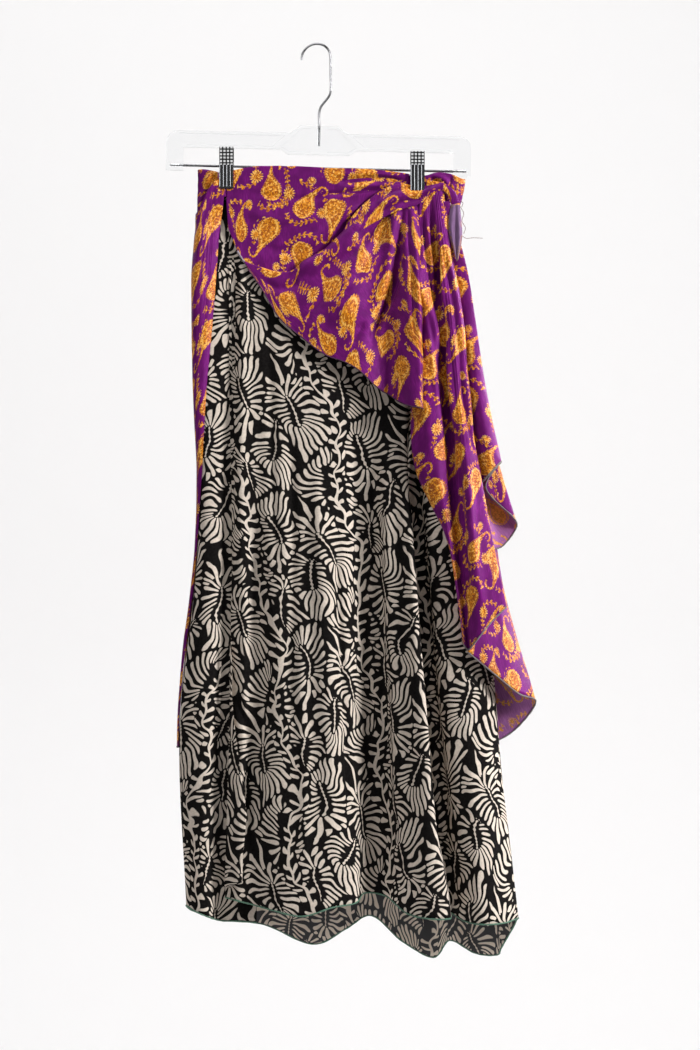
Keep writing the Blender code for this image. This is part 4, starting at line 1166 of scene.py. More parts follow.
# centre x and y, radius of the vine's arc, turn of its middle, half its length in radians
VINES = ((38, 21, 17.0, 200, 1.3), (8, 60, 18.0, 330, 1.2), (66, 42, 17.0, 215, 1.3),
         (38, 78, 17.0, 25, 1.2), (92, 66, 17.0, 200, 1.2), (66, 96, 18.0, 25, 1.3),
         (6, 2, 17.0, 270, 1.0), (8, 64, 16.0, 105, 1.0), (66, 100, 16.0, 70, 1.0))


def paisley():
    """Group: one paisley: its shape, its pale outline, and the halo that vines keep out of."""
    tree, n, given, result = new_group(
        "paisley", (("Local", "Vector"), ("Size", "Float")),
        (("Shape", "Float"), ("Outline", "Float"), ("Halo", "Float")))
    a, b, _ = n.parts(n.vector("DIVIDE", given["Local"],
                               n.join(given["Size"], given["Size"], 1.0)))
    bent = n.math("SUBTRACT", b, n.math("MULTIPLY", n.math("POWER", n.math(
        "MAXIMUM", n.math("ADD", a, 2.0), 0.0), 2.0), 0.016))
    part = n.math("DIVIDE", n.math("ADD", a, 12.5), 36.0)
    curve = n.node("ShaderNodeFloatCurve")
    points = curve.mapping.curves[0].points
    for at, height in ((0.0, 0.0), (1.0, 0.0)):
        points[int(at)].location = (at, height)
    for at, height in ((0.05, 0.42), (0.16, 0.78), (0.32, 0.88), (0.5, 0.66), (0.7, 0.34),
                       (0.88, 0.16)):
        points.new(at, height)
    curve.mapping.update()
    n.put(curve.inputs["Value"], part)
    half_width = n.math("MULTIPLY", curve.outputs[0], 12.0)
    inside = n.math("SUBTRACT", half_width, n.math("ABSOLUTE", bent))
    turn = n.math("ARCTAN2", bent, n.math("SUBTRACT", a, 4.0))
    spikes = n.math("MULTIPLY", n.math("ABSOLUTE", n.math("SINE", n.math("MULTIPLY", turn, 17.0))), 1.7)
    within = n.math("MULTIPLY", n.math("GREATER_THAN", part, 0.0), n.math("LESS_THAN", part, 1.0))
    shape = n.step(n.math("ADD", inside, n.math("SUBTRACT", spikes, 0.9)), -0.3, 0.3)
    ring = n.math("ABSOLUTE", n.math("SUBTRACT", inside, 2.6))
    n.put(result["Outline"], n.math("SUBTRACT", 1.0, n.step(ring, 0.4, 1.1)))
    curl_at = n.vector("SUBTRACT", n.join(a, b), (20.5, 13.5, 0))
    curl_x, curl_y, _ = n.parts(curl_at)
    off = n.math("ABSOLUTE", n.math("SUBTRACT", n.vector("LENGTH", curl_at), 4.6))
    open_end = n.math("GREATER_THAN", n.math("MULTIPLY_ADD", curl_y, 0.6, curl_x), -2.6)
    beads = n.math("MULTIPLY", n.math("ARCTAN2", curl_y, curl_x), 11.0)
    beads = n.math("MULTIPLY_ADD", n.math("SINE", beads), 0.25, 1.0)
    curl = n.step(n.math("SUBTRACT", beads, off), -0.2, 0.2)
    shape = n.math("MAXIMUM", n.math("MULTIPLY", shape, within), n.math("MULTIPLY", curl, open_end))
    n.put(result["Shape"], shape)
    halo = n.math("MULTIPLY", n.step(inside, -3.0, -2.6), within)
    n.put(result["Halo"], n.math("MAXIMUM", halo, n.math("SUBTRACT", 1.0, n.step(off, 2.4, 2.8))))
    return tree


print("silk repeat:", len(PAISLEYS), "paisleys,", len(DAISIES), "daisies,", len(VINES), "vines")

# %% [markdown]
# ### Daisies and vines
#
# Daisies and vines of small leaf pairs fill the ground between the drops. A daisy's rim
# swings with the angle round its middle. A vine is drawn straight, by its length and the
# distance to its line, and is bent into an arc only when it is placed.

# %% Daisy and vine


def daisy():
    """Group: a daisy with thin petals."""
    tree, n, given, result = new_group(
        "daisy", (("Local", "Vector"), ("Size", "Float")), (("Shape", "Float"), ("Outline", "Float")))
    radius = n.math("DIVIDE", n.vector("LENGTH", given["Local"]), given["Size"])
    x, y, _ = n.parts(given["Local"])
    petals = n.math("ABSOLUTE", n.math("SINE", n.math("MULTIPLY", n.math("ARCTAN2", y, x), 7.0)))
    rim = n.math("MULTIPLY_ADD", petals, 3.4, 3.4)
    n.put(result["Shape"], n.step(n.math("SUBTRACT", rim, radius), -0.3, 0.3))
    ring = n.math("MULTIPLY", petals, n.step(radius, 1.6, 3.0))
    n.put(result["Outline"], n.step(ring, 0.55, 0.9))
    return tree


def leafy_vine():
    """Group: a vine as pairs of small leaves and buds, from its length and its side."""
    tree, n, given, result = new_group(
        "leafy vine", (("Along", "Float"), ("Off", "Float")), (("Shape", "Float"),))
    pitch = 4.6
    along = n.math("MULTIPLY", n.math("SUBTRACT", n.math("FRACT", n.math("DIVIDE", given["Along"],
                                                                         pitch)), 0.5), pitch)
    side = n.math("SUBTRACT", n.math("ABSOLUTE", given["Off"]), 1.35)
    long = n.math("DIVIDE", n.math("ADD", along, side), 2.2)
    wide = n.math("DIVIDE", n.math("SUBTRACT", along, side), 1.3)
    leaf = n.step(n.math("SUBTRACT", 1.0, n.vector("LENGTH", n.join(long, wide))), -0.15, 0.15)
    line = n.step(n.math("SUBTRACT", 0.45, n.math("ABSOLUTE", given["Off"])), -0.2, 0.2)
    n.put(result["Shape"], n.math("MAXIMUM", leaf, line))
    return tree


print("vines span", sorted({round(math.degrees(2 * row[-1])) for row in VINES}), "degrees of arc")

# %% [markdown]
# ### The paisley print as one group
#
# Every figure adds to the same two masks: where gold is, and where the gold is pale. Vines
# come last and stay off whatever is there already.

# %% Whole paisley print


def paisley_print():
    """Group: the gold figures: where they are, and where they are pale."""
    tree, n, given, result = new_group(
        "paisley print", (("Point", "Vector"),), (("Gold", "Float"), ("Pale", "Float")))
    flat = n.vector("SCALE", given["Point"], scale=1 / SILK_SCALE)
    point = wavering(n, flat, flat, 26.0, 6.0)
    find = local_point("silk repeat", *SILK_REPEAT)
    figure, bloom, vine = paisley(), daisy(), leafy_vine()
    solid, pale, taken = 0.0, 0.0, 0.0
    for x, y, turn, size in PAISLEYS:
        own = n.group(find, Point=point, Centre=(x, y, 0), Turn=math.radians(turn))["Local"]
        drawn = n.group(figure, Local=own, Size=size)
        solid = n.math("MAXIMUM", solid, drawn["Shape"])
        pale = n.math("MAXIMUM", pale, n.math("MULTIPLY", drawn["Shape"], drawn["Outline"]))
        taken = n.math("MAXIMUM", taken, drawn["Halo"])
    for x, y, size in DAISIES:
        own = n.group(find, Point=point, Centre=(x, y, 0), Turn=0.3)["Local"]
        drawn = n.group(bloom, Local=own, Size=size)
        solid = n.math("MAXIMUM", solid, drawn["Shape"])
        pale = n.math("MAXIMUM", pale, n.math("MULTIPLY", drawn["Shape"], drawn["Outline"]))
    clear = n.math("SUBTRACT", 1.0, n.math("MAXIMUM", solid, taken))
    for x, y, radius, turn, half in VINES:
        own = n.group(find, Point=point, Centre=(x, y, 0), Turn=math.radians(turn))["Local"]
        a, b, _ = n.parts(own)
        turn = n.math("ARCTAN2", b, a)
        wave = n.math("MULTIPLY", n.math("SINE", n.math("MULTIPLY", turn, 3.0)), 2.5)
        off = n.math("SUBTRACT", n.math("SUBTRACT", n.vector("LENGTH", own), radius), wave)
        leaves = n.group(vine, Along=n.math("MULTIPLY", turn, radius), Off=off)["Shape"]
        leaves = n.math("MULTIPLY", leaves, n.math("LESS_THAN", n.math("ABSOLUTE", turn), half))
        solid = n.math("MAXIMUM", solid, n.math("MULTIPLY", leaves, clear))
    n.put(result["Gold"], solid)
    n.put(result["Pale"], pale)
    print("paisley print:", len(tree.nodes), "nodes")
    return tree


PAISLEY_PRINT = paisley_print()

# %% [markdown]
# ## Cloth materials
#
# The printed cloth is matt with a fine weave. The silk is a soft satin, whose threads
# stretch the highlight along the fold. Each cloth has a material for either side.

# %% Material helpers
CHARCOAL = (0.0050, 0.0042, 0.0040, 1)
CREAM = (0.68, 0.59, 0.505, 1)
PURPLE = (0.135, 0.0085, 0.128, 1)
GOLD = (0.76, 0.285, 0.012, 1)
PALE_GOLD = (0.90, 0.50, 0.10, 1)
BURNT_GOLD = (0.34, 0.088, 0.005, 1)
PAINTED_GROOVE_SHADE = (0.02, 0.02, 0.02, 1)


def darker(colour, part):
    """A colour times a part, as four values."""
    return tuple(part * value for value in colour)


def set_finish(shader, **values):
    """Set plain values on the shader's own sockets."""
    for socket, value in values.items():
        shader.inputs[socket.replace("_", " ")].default_value = value


def start_material(name):
    """A new material: itself, its node helper and its Principled shader."""
    made = bpy.data.materials.new(name)
    made.use_nodes = True
    shader = made.node_tree.nodes["Principled BSDF"]
    return made, Nodes(made.node_tree), shader


def fine_weave(n, shader, point, across, down, strength):
    """A fine plain weave as bump."""
    x, y, _ = n.parts(point)
    warp = n.math("SINE", n.math("MULTIPLY", x, 2 * math.pi / across))
    weft = n.math("SINE", n.math("MULTIPLY", y, 2 * math.pi / down))
    n.bump(shader, n.math("ADD", warp, weft), strength, 0.0001)


print("colours: charcoal", CHARCOAL[:3], "cream", CREAM[:3], "purple", PURPLE[:3], "gold", GOLD[:3])

# %% Leaf cloth


def leaf_cloth(name, wrong_side):
    """Charcoal cloth with cream leaf strokes, or its greyer wrong side with painted light."""
    made, n, shader = start_material(name)
    point = cloth_millimetres(n)
    light = n.group(LEAF_PRINT, Point=point)["Light"]
    cloudy = n.noise(point, 0.35, 4.0).outputs["Fac"]
    cream = n.choose(n.step(cloudy, 0.35, 0.65), darker(CREAM, 0.86), CREAM, "RGBA")
    dark = n.choose(n.step(cloudy, 0.3, 0.7), CHARCOAL, (0.0095, 0.0083, 0.0080, 1), "RGBA")
    colour = n.choose(light, dark, cream, "RGBA")
    if wrong_side:      # the same strokes, paler on a greyer ground
        # greyer ground and paler strokes, as on a print's back, both painted brighter: painted light for
        # a shaded inside
        colour = n.choose(light, (0.070, 0.068, 0.072, 1), (0.80, 0.69, 0.58, 1), "RGBA")
    n.put(shader.inputs["Base Color"], colour)
    set_finish(shader, Roughness=0.82, Specular_IOR_Level=0.04)
    fine_weave(n, shader, point, 0.9, 0.5, 0.35)
    print(name, "has", len(made.node_tree.nodes), "nodes")
    return made


leaf_right = leaf_cloth("leaf_cloth", False)
leaf_wrong_side_painted_light = leaf_cloth("leaf_cloth_wrong_side_painted_light", True)
LEAF = ("leaf_print", leaf_right, leaf_wrong_side_painted_light)

# %% [markdown]
# ### Silk
#
# Silk is uneven: its threads differ in shade, and broad clouds of tone drift over it; the
# clouds are also painted sheen, patches of satin lustre put into the colour. The gold is
# speckled by a Voronoi texture. The wrong side gets its own two colours: a bright pair of
# painted light, as if light came through the cloth, and a faded pair for the end of the tie.

# %% Silk
# ground and figures of the silk's wrong side: painted light, as if lit from behind through
# the cloth, and at the end of the tie
LIT_THROUGH = ((0.46, 0.18, 0.46, 1), (0.90, 0.42, 0.10, 1))
FADED = ((0.17, 0.105, 0.19, 1), (0.26, 0.15, 0.10, 1))


def silk_cloth(name, wrong_side=None):
    """Purple satin with the gold print; wrong_side gives the colours of its wrong side; LIT_THROUGH is
    painted light.
    """
    made, n, shader = start_material(name)
    point = cloth_millimetres(n)
    printed = n.group(PAISLEY_PRINT, Point=point)
    speckle = n.node("ShaderNodeTexVoronoi")
    n.put(speckle.inputs["Vector"], point)
    speckle.inputs["Scale"].default_value = 0.62
    grain = n.parts(speckle.outputs["Color"])[0]
    gold = n.choose(n.step(grain, 0.2, 0.75), BURNT_GOLD, GOLD, "RGBA")
    gold = n.choose(n.step(grain, 0.82, 0.95), gold, PALE_GOLD, "RGBA")
    gold = n.choose(n.math("MULTIPLY", printed["Pale"], n.step(grain, 0.1, 0.5)), gold, PALE_GOLD,
                    "RGBA")
    threads = n.noise(n.vector("MULTIPLY", point, (1.0, 0.12, 1.0)), 0.9, 3.0).outputs["Fac"]
    # the clouds are random tone and painted sheen: brighter and darker patches that stand in for satin
    # lustre
    clouds = n.noise(n.vector("MULTIPLY", point, (1.0, 0.6, 1.0)), 0.075, 3.0).outputs["Fac"]
    mottled_with_painted_sheen = n.choose(n.step(clouds, 0.36, 0.64), darker(PURPLE, 0.72), darker(PURPLE, 1.35),
                       "RGBA")
    ground = n.choose(n.step(threads, 0.3, 0.7), darker(PURPLE, 0.8), mottled_with_painted_sheen, "RGBA")
    colour = n.choose(printed["Gold"], ground, gold, "RGBA")
    if wrong_side:
        # painted light: with LIT_THROUGH the wrong side is coloured as if light came through the cloth
        under, figure = wrong_side
        ground = n.choose(n.step(threads, 0.3, 0.7), darker(under, 0.72), under, "RGBA")
        drawn = n.choose(n.step(grain, 0.2, 0.75), darker(figure, 0.66), figure, "RGBA")
        drawn = n.choose(n.math("MULTIPLY", printed["Pale"], 0.7), drawn, under, "RGBA")
        colour = n.choose(printed["Gold"], ground, drawn, "RGBA")
    n.put(shader.inputs["Base Color"], colour)
    set_finish(shader, Roughness=0.6 if wrong_side else 0.38, Specular_IOR_Level=0.35,
               Specular_Tint=(0.75, 0.16, 0.80, 1), Anisotropic=0.5, Sheen_Weight=0.05,
               Sheen_Roughness=0.35, Sheen_Tint=(0.8, 0.2, 0.9, 1))
    fine_weave(n, shader, point, 0.42, 0.35, 0.25)
    print(name, "has", len(made.node_tree.nodes), "nodes")
    return made


silk_right = silk_cloth("paisley_silk")
silk_wrong_side_painted_light = silk_cloth("paisley_silk_wrong_side_painted_light", LIT_THROUGH)
silk_faded = silk_cloth("paisley_silk_faded", FADED)
SILK = ("purple_silk", silk_right, silk_wrong_side_painted_light)

# %% [markdown]
# ### Overlock thread
#
# Overlock stitches lie slanted over the edge. A sine wave across the tube's UV map gives the
# windings, once as painted shade, dark in the hollows of the relief, and once as relief.
# Each hem has its own thread.

# %% Threads


def thread_cover(name, light, dark):
    """Overlock thread: slanted windings in two shades, the darker painted shade in their hollows."""
    made, n, shader = start_material(name)
    x, y, _ = n.parts(cloth_millimetres(n))
    winding = n.math("SINE", n.math("MULTIPLY_ADD", y, 2 * math.pi / 1.1, n.math("MULTIPLY", x, 2.2)))
    n.put(shader.inputs["Base Color"], n.choose(n.step(winding, -0.5, 0.6), dark, light, "RGBA"))
    set_finish(shader, Roughness=0.7)
    n.bump(shader, winding, 0.6, 0.0003)
    return made


# each thread: its colour, then a darker copy painted as shade in the hollows between windings
green_thread = thread_cover("green_overlock_thread", (0.14, 0.30, 0.20, 1), (0.035, 0.08, 0.055, 1))
grey_thread = thread_cover("grey_overlock_thread", (0.30, 0.26, 0.27, 1), (0.09, 0.07, 0.075, 1))
lilac_thread = thread_cover("lilac_overlock_thread", (0.44, 0.38, 0.44, 1), (0.17, 0.13, 0.17, 1))
red_thread = thread_cover("loose_red_thread", (0.20, 0.03, 0.03, 1), (0.10, 0.01, 0.02, 1))
plum_thread = thread_cover("plum_overlock_thread", (0.09, 0.012, 0.08, 1), (0.035, 0.004, 0.03, 1))
print("materials so far:", len(bpy.data.materials))

# %% [markdown]
# ## The long black layer
#
# The front panel falls in three broad folds from the waist, which its table gives. Listed
# creases come on top, and random ones that are strongest low down, where nothing holds the
# cloth flat.

# %% Black front
black_front = cloth_grid(front_lines, 180, 190)
_, front_down = shares(black_front)
front_free = soft_step(0.1, 0.45, front_down) * free_edges(black_front, 0.0, 0.03)
# name, path as x and drop, height outwards, width
FRONT_CREASES = (
    ("edge groove", ((-101, 190), (-98, 300), (-99, 420), (-101, 520), (-104, 620), (-106, 700)),
     -4.0, 5.0),
    ("corner groove", ((-108, 690), (-91, 774), (-78, 814), (-84, 875), (-91, 927), (-106, 985)),
     -4.0, 4.0),
    ("groove lip", ((-90, 220), (-88, 380), (-90, 540), (-86, 700)), 4.0, 7.0),
    ("crest 1 rise", ((-78, 520), (-72, 640), (-70, 760), (-74, 860), (-76, 985)), -7.0, 11.0),
    ("crest 1 shoulder", ((-2, 500), (6, 600), (12, 700), (14, 800), (18, 985)), 5.0, 11.0),
    ("turn line", ((20, 560), (24, 649), (29, 740), (34, 837), (40, 960)), -4.0, 3.5),
    ("valley 1 floor", ((44, 440), (50, 540), (54, 640), (58, 740), (62, 860), (66, 990)), -7.0, 12.0),
    ("rise foot", ((62, 462), (67, 556), (70, 614), (73, 700), (76, 780), (80, 900), (84, 1000)),
     -4.0, 4.0),
    ("crest 2 lip", ((74, 440), (80, 540), (85, 640), (91, 740), (97, 860), (103, 1000)), 6.0, 8.0),
    ("crest 2 fall", ((100, 470), (108, 580), (116, 700), (126, 830), (138, 990)), 4.0, 7.0),
    ("valley 2 floor", ((106, 430), (117, 560), (127, 700), (139, 840), (152, 1000)), -13.0, 6.5),
    ("crest 3 ridge", ((140, 640), (152, 760), (162, 880), (176, 1010)), 5.0, 8.0),
    ("small pleat 1", ((-60, 300), (-55, 420), (-52, 540), (-44, 640)), -2.6, 5.0),
    ("small pleat 2", ((-34, 420), (-30, 560), (-34, 700), (-30, 820)), -3.0, 6.0),
    ("small pleat 3", ((-16, 640), (-18, 760), (-14, 880), (-16, 990)), 3.0, 6.0),
)
front_x, front_drop = black_front[..., 0] / MM, -black_front[..., 2] / MM
hidden_top = soft_step(-40, 0, front_x) * (1 - soft_step(225, 260, front_drop))
random_creases = (long_creases(black_front, 14, 1.8, 0.012, 3)
                  + long_creases(black_front, 9, 2.2, 0.03, 8)
                  + wrinkles(black_front, 1.3, (26, 120), 1))
TUCKED = 2.2              # how far the front stays back under the purple front, mm
black_front = push_out(black_front, placed_creases(black_front, FRONT_CREASES)
                       - TUCKED * hidden_top + front_free * random_creases)
cloth_piece("black_front_panel", "black_front", black_front, LEAF, turn=4)

# %% [markdown]
# ### Its back
#
# The back wraps round the left side and ends in an underlap behind the front's free edge.
# Creases that stand outwards are kept to its hem, because purple cloth lies close on the
# rest of it; grooves may run anywhere.

# %% Black back
black_back = cloth_grid(back_lines, 170, 150)[:, ::-1]
_, back_down = shares(black_back)
back_free = soft_step(0.15, 0.7, back_down) * free_edges(black_back, 0.02, 0.03)
# name, path as x and drop, height outwards, width
BACK_CREASES = (
    ("crest 1 lip", ((-112, 560), (-118, 700), (-122, 850), (-118, 1000)), 4.0, 8.0),
    ("valley 1 floor", ((-84, 420), (-86, 600), (-90, 800), (-88, 1010)), -6.0, 8.0),
    ("valley 1 pleat", ((-60, 640), (-52, 760), (-50, 900), (-44, 1030)), -4.0, 5.0),
    ("crest 2 left", ((-32, 500), (-26, 650), (-24, 800), (-20, 1040)), 4.5, 9.0),
    ("crest 2 groove", ((-10, 460), (-2, 620), (2, 780), (4, 900), (8, 1045)), -5.0, 5.0),
    ("valley 2 floor", ((22, 380), (28, 540), (34, 720), (36, 880), (40, 1020)), -5.0, 7.0),
    ("valley 3 ridge", ((46, 560), (56, 700), (60, 860), (66, 1020)), 4.0, 8.0),
    ("rise 3 foot", ((62, 460), (72, 600), (80, 760), (86, 900), (90, 1040)), -5.0, 5.0),
    ("crest 3 ridge", ((92, 520), (106, 680), (118, 840), (130, 1060)), 4.5, 8.0),
    ("valley 4 floor", ((106, 400), (124, 560), (138, 720), (150, 900), (158, 1040)), -5.0, 5.0),
    ("crest 4 ridge", ((128, 560), (148, 700), (166, 860), (182, 1050)), 4.0, 7.0),
    ("right groove", ((140, 480), (160, 640), (178, 800), (194, 960), (202, 1050)), -4.0, 6.0),
    ("hem ridge", ((-72, 880), (-64, 950), (-60, 1030)), 3.0, 5.0),
    ("hem groove", ((110, 900), (118, 980), (124, 1060)), -4.0, 4.0),
)
# 1 on the back itself, 0 on the stretch that lies in front
behind = soft_step(-1.0, 1.5, black_back[..., 1] / MM)
below = soft_step(800, 880, -black_back[..., 2] / MM)
back_creases = placed_creases(black_back, BACK_CREASES) * behind
back_creases = np.where(back_creases > 0, back_creases * below, back_creases)
black_back = push_out(black_back, back_creases * free_edges(black_back, 0.02, 0.0)
                      + back_free * wrinkles(black_back, 0.9, (30, 140), 5))
cloth_piece("black_back_panel", "black_back", black_back, LEAF, turn=-3, shift=(31, 17))

# %% Black hems
for hem_name, panel in (("black_front_hem", black_front), ("black_back_hem", black_back)):
    serged_edge(hem_name, panel[-1], 0.9, green_thread)

# %% [markdown]
# ### Turned-back corner
#
# Near the hem the front's free edge has flipped outwards. It is a strip lifted off the front
# along its own fold lines, so it keeps lying on the cloth that it was turned from.

# %% Turned-back corner


def corner_surface(across, down):
    """The front's free edge, turned back on itself near the hem."""
    top, foot = CORNER[0][0], CORNER[-1][0]
    part = top + (foot - top) * down
    width = between(CORNER, part)
    return lifted(front_lines, 0.03 + across * width, part, LIE + 0.6 + 2.0 * across, side=-1.0)


corner = surface_grid(corner_surface, 14, 90)
cloth_piece("black_front_turned_corner", "black_front_corner", corner, LEAF, turn=4,
            shift=(12, 40))

# %% [markdown]
# ## The short purple layer
#
# The back and the left fold follow the black back at a small distance. A point of theirs is
# found on the black back first and then lifted off it, so the two layers never cross.

# %% Left fold


def back_part_at(fold, drop):
    """How far down its fold line of the black back a drop lies."""
    low = min(int(fold), len(BACK_FOLDS) - 2)
    part = fold - low
    hem = BACK_FOLDS[low][2] + (BACK_FOLDS[low + 1][2] - BACK_FOLDS[low][2]) * part
    top = BACK_FOLDS[low][1]
    return (drop - top) / (hem - top)


def left_fold_surface(across, down):
    """The purple fold at the left, on the black back."""
    top = between(LEFT_FOLD_TOP, across)
    drop = top + (BACK_HEM - top) * down
    part = (drop - WAIST) / (BACK_HEM - WAIST)
    front_edge = between(LEFT_FOLD, part)
    fold = front_edge + (SIDE_SEAM - front_edge) * across
    stand = [(step / 3, between(LEFT_FOLD, part, 2 + step)) for step in range(4)]
    over_band = 2.1 * min(1.0, max(0.0, (205 - drop) / 30))
    lift = between(stand, across) + over_band
    point = lifted(back_lines, fold, max(back_part_at(fold, drop), 0.0), lift)
    return point + Vector((0, 0, max(WAIST - drop, 0.0) * MM))


left_fold = surface_grid(left_fold_surface, 44, 150)[:, ::-1]
left_across, left_down = shares(left_fold)
rounded = 2.2 * np.sin(math.pi * left_across) - 1.2 * soft_step(0.75, 1.0, left_across)
rolled_top = 2.2 * (1 - soft_step(0.0, 0.035, left_down)) * (1 - soft_step(0.75, 0.95, left_across))
left_fold = push_out(left_fold, rolled_top + soft_step(0.02, 0.12, left_down) * (
    rounded * (1 - 0.6 * soft_step(0.3, 0.6, left_down))
    + pleats(left_fold, 2.2, 0.6, ((0, 1), (0.1, 0.7), (0.3, 0.1), (1, 0)), 2)
    + wrinkles(left_fold, 0.6, (12, 45), 3)))
cloth_piece("purple_left_fold_panel", "purple_left_fold", left_fold, SILK, shift=(66, 0))

# %% [markdown]
# ### Purple back
#
# The back panel does not follow every black valley: silk under tension bridges them, and the
# more the lower it is. Its creases may press inwards only as far as that bridge is high.

# %% Purple back


def purple_back_point(fold, down):
    """A point of the purple back at a fold number of the black back."""
    drop = WAIST + (BACK_HEM - WAIST) * down
    near_seam = min(1.0, max(0.0, (6.5 - fold) / 0.6))
    lift = LIE + (between(LEFT_FOLD, down, 5) - LIE) * near_seam + between(BACK_BRIDGES, fold) * down
    return lifted(back_lines, fold, back_part_at(fold, drop), lift)


def purple_back_surface(across, down):
    """The purple back panel, bridging the black valleys."""
    fold = BACK_START + (BACK_END - 0.02 - BACK_START) * across
    return purple_back_point(fold, down)


purple_back = surface_grid(purple_back_surface, 110, 90)[:, ::-1]
purple_back_across, purple_back_down = shares(purple_back)
# name, path as x and drop, height outwards, width
PURPLE_BACK_CREASES = (
    ("far ridge", ((-120, 200), (-122, 330), (-128, 480), (-130, 640)), 3.0, 6.0),
    ("crest 1 pleat", ((-96, 186), (-92, 300), (-96, 430), (-90, 560)), 2.6, 5.0),
    ("valley 1 ridge", ((-60, 190), (-64, 320), (-58, 460), (-56, 640), (-58, 800)), 3.2, 7.0),
    ("waist pleat 1", ((-36, 186), (-30, 260), (-34, 360)), 2.0, 4.0),
    ("crest 2 ridge", ((-14, 240), (-10, 380), (-4, 520), (-2, 690), (2, 815)), 3.4, 8.0),
    ("waist pleat 2", ((12, 186), (18, 280), (16, 390), (22, 520)), 2.2, 4.0),
    ("bridge trough", ((28, 420), (36, 560), (42, 700), (46, 815)), -5.0, 8.0),
    ("valley 3 ridge", ((38, 190), (44, 300), (54, 430), (60, 560), (66, 720), (70, 815)), 3.0, 6.0),
    ("waist pleat 3", ((64, 186), (72, 280), (80, 400), (84, 520)), 2.4, 5.0),
    ("crest 3 ridge", ((84, 240), (96, 380), (108, 540), (118, 700), (126, 815)), 3.2, 7.0),
    ("waist pleat 4", ((104, 186), (112, 270), (120, 360)), 2.0, 4.0),
    ("crest 4 ridge", ((120, 200), (136, 340), (150, 480), (160, 640), (170, 800)), 3.0, 6.0),
)
bridged = np.interp(BACK_END + (BACK_START - BACK_END) * purple_back_across, *zip(*BACK_BRIDGES))
drawn = 1.7 * placed_creases(purple_back, PURPLE_BACK_CREASES)
loose = (np.abs(long_creases(purple_back, 16, 1.2, 0.015, 12)) + 0.3
         + wrinkles(purple_back, 0.4, (25, 90), 9))
room_inwards = -0.7 - 0.6 * bridged * purple_back_down
purple_back = push_out(purple_back, free_edges(purple_back) * np.maximum(
    drawn + purple_back_down * loose, room_inwards))
cloth_piece("purple_back_panel", "purple_back", purple_back, SILK, shift=(5, 60))

# %% [markdown]
# ### Right side
#
# The gore at the right flares into a long corner. It starts on the very line where the back
# ends, so that no gap can open at the seam.

# %% Right side
seam_line = [purple_back_point(BACK_END, step / 4) for step in range(5)]
side = cloth_grid([seam_line] + fold_lines(SIDE_FOLDS), 70, 110)[:, ::-1]
_, side_down = shares(side)
side = push_out(side, free_edges(side) * side_down * (
    long_creases(side, 5, 1.2, 0.05, 21) + wrinkles(side, 0.8, (22, 70), 14)))
cloth_piece("purple_side_panel", "purple_side", side, SILK, turn=-8, shift=(40, 5))
for hem_name, panel, radius in (("purple_left_fold_hem", left_fold, 0.8),
                                ("purple_back_hem", purple_back, 0.8),
                                ("purple_side_hem", side, 0.9)):
    serged_edge(hem_name, panel[-1], radius, grey_thread)

# %% [markdown]
# ### Upper front
#
# The front is a flat upper panel, a swag drawn up to the right clip, and two bundles of
# pleats that fall from there. Raw silk edges curl, so the top of a panel turns over to the
# back round a small radius.

# %% Upper front


def rolled_surface(lines, radius, rolled):
    """A surface on ribs whose top edge turns over to the back round a small radius."""

    def surface(across, down):
        fold = across * (len(lines) - 1)
        if down >= rolled:
            return cloth_point(lines, fold, (down - rolled) / (1 - rolled))
        turn = math.pi * (1 - down / rolled)
        edge = cloth_point(lines, fold, 0.0)
        return edge + Vector((0, 1 - math.cos(turn), math.sin(turn))) * (radius * MM)

    return surface


# name, path as x and drop, height outwards, width
UPPER_CREASES = (
    ("pocket", ((-8, 262), (14, 246), (36, 220), (56, 198), (80, 178)), -5.0, 7.0),
    ("pocket lip", ((-30, 250), (0, 226), (28, 200), (56, 184)), 3.0, 7.0),
    ("dark fold", ((22, 162), (44, 159), (72, 158), (106, 160)), -3.0, 3.4),
    ("ridge over it", ((14, 153), (40, 151), (70, 151.5), (104, 155)), 1.2, 2.6),
    ("ridge under it", ((26, 168), (50, 165.5), (78, 164.5), (100, 165)), 1.6, 2.4),
    ("thin fold", ((-2, 176), (26, 174), (52, 172), (76, 170)), -1.8, 2.2),
    ("soft pleat 1", ((-84, 172), (-50, 178), (-15, 180), (22, 178)), -1.2, 3.0),
    ("soft pleat 2", ((-88, 192), (-56, 204), (-20, 206), (10, 198)), 1.4, 6.0),
    ("soft pleat 3", ((-80, 226), (-50, 240), (-18, 240), (4, 230)), -1.4, 6.0),
    ("low edge", ((-60, 264), (-36, 272), (-14, 268)), 1.2, 5.0),
)
upper = surface_grid(rolled_surface(rib_lines(UPPER_RIBS), 0.6, 0.04), 150, 80)
upper = push_out(upper, placed_creases(upper, UPPER_CREASES) + wrinkles(upper, 0.5, (50, 12), 4)
                 + wrinkles(upper, 0.3, (11, 8), 44))
cloth_piece("purple_upper_panel", "purple_front_upper", upper, SILK, shift=(18, 34))
tip_edge = [point for point in upper[-1] if -95 * MM < point[0] < -80 * MM]
serged_edge("purple_upper_tip_stitching", tip_edge, 1.2, lilac_thread)

# %% [markdown]
# ### Swag
#
# The swag hangs from the right clip like a curtain caught up at one end. Its creases run
# from the clip and spread out, deep near the clip and soft on the belly.

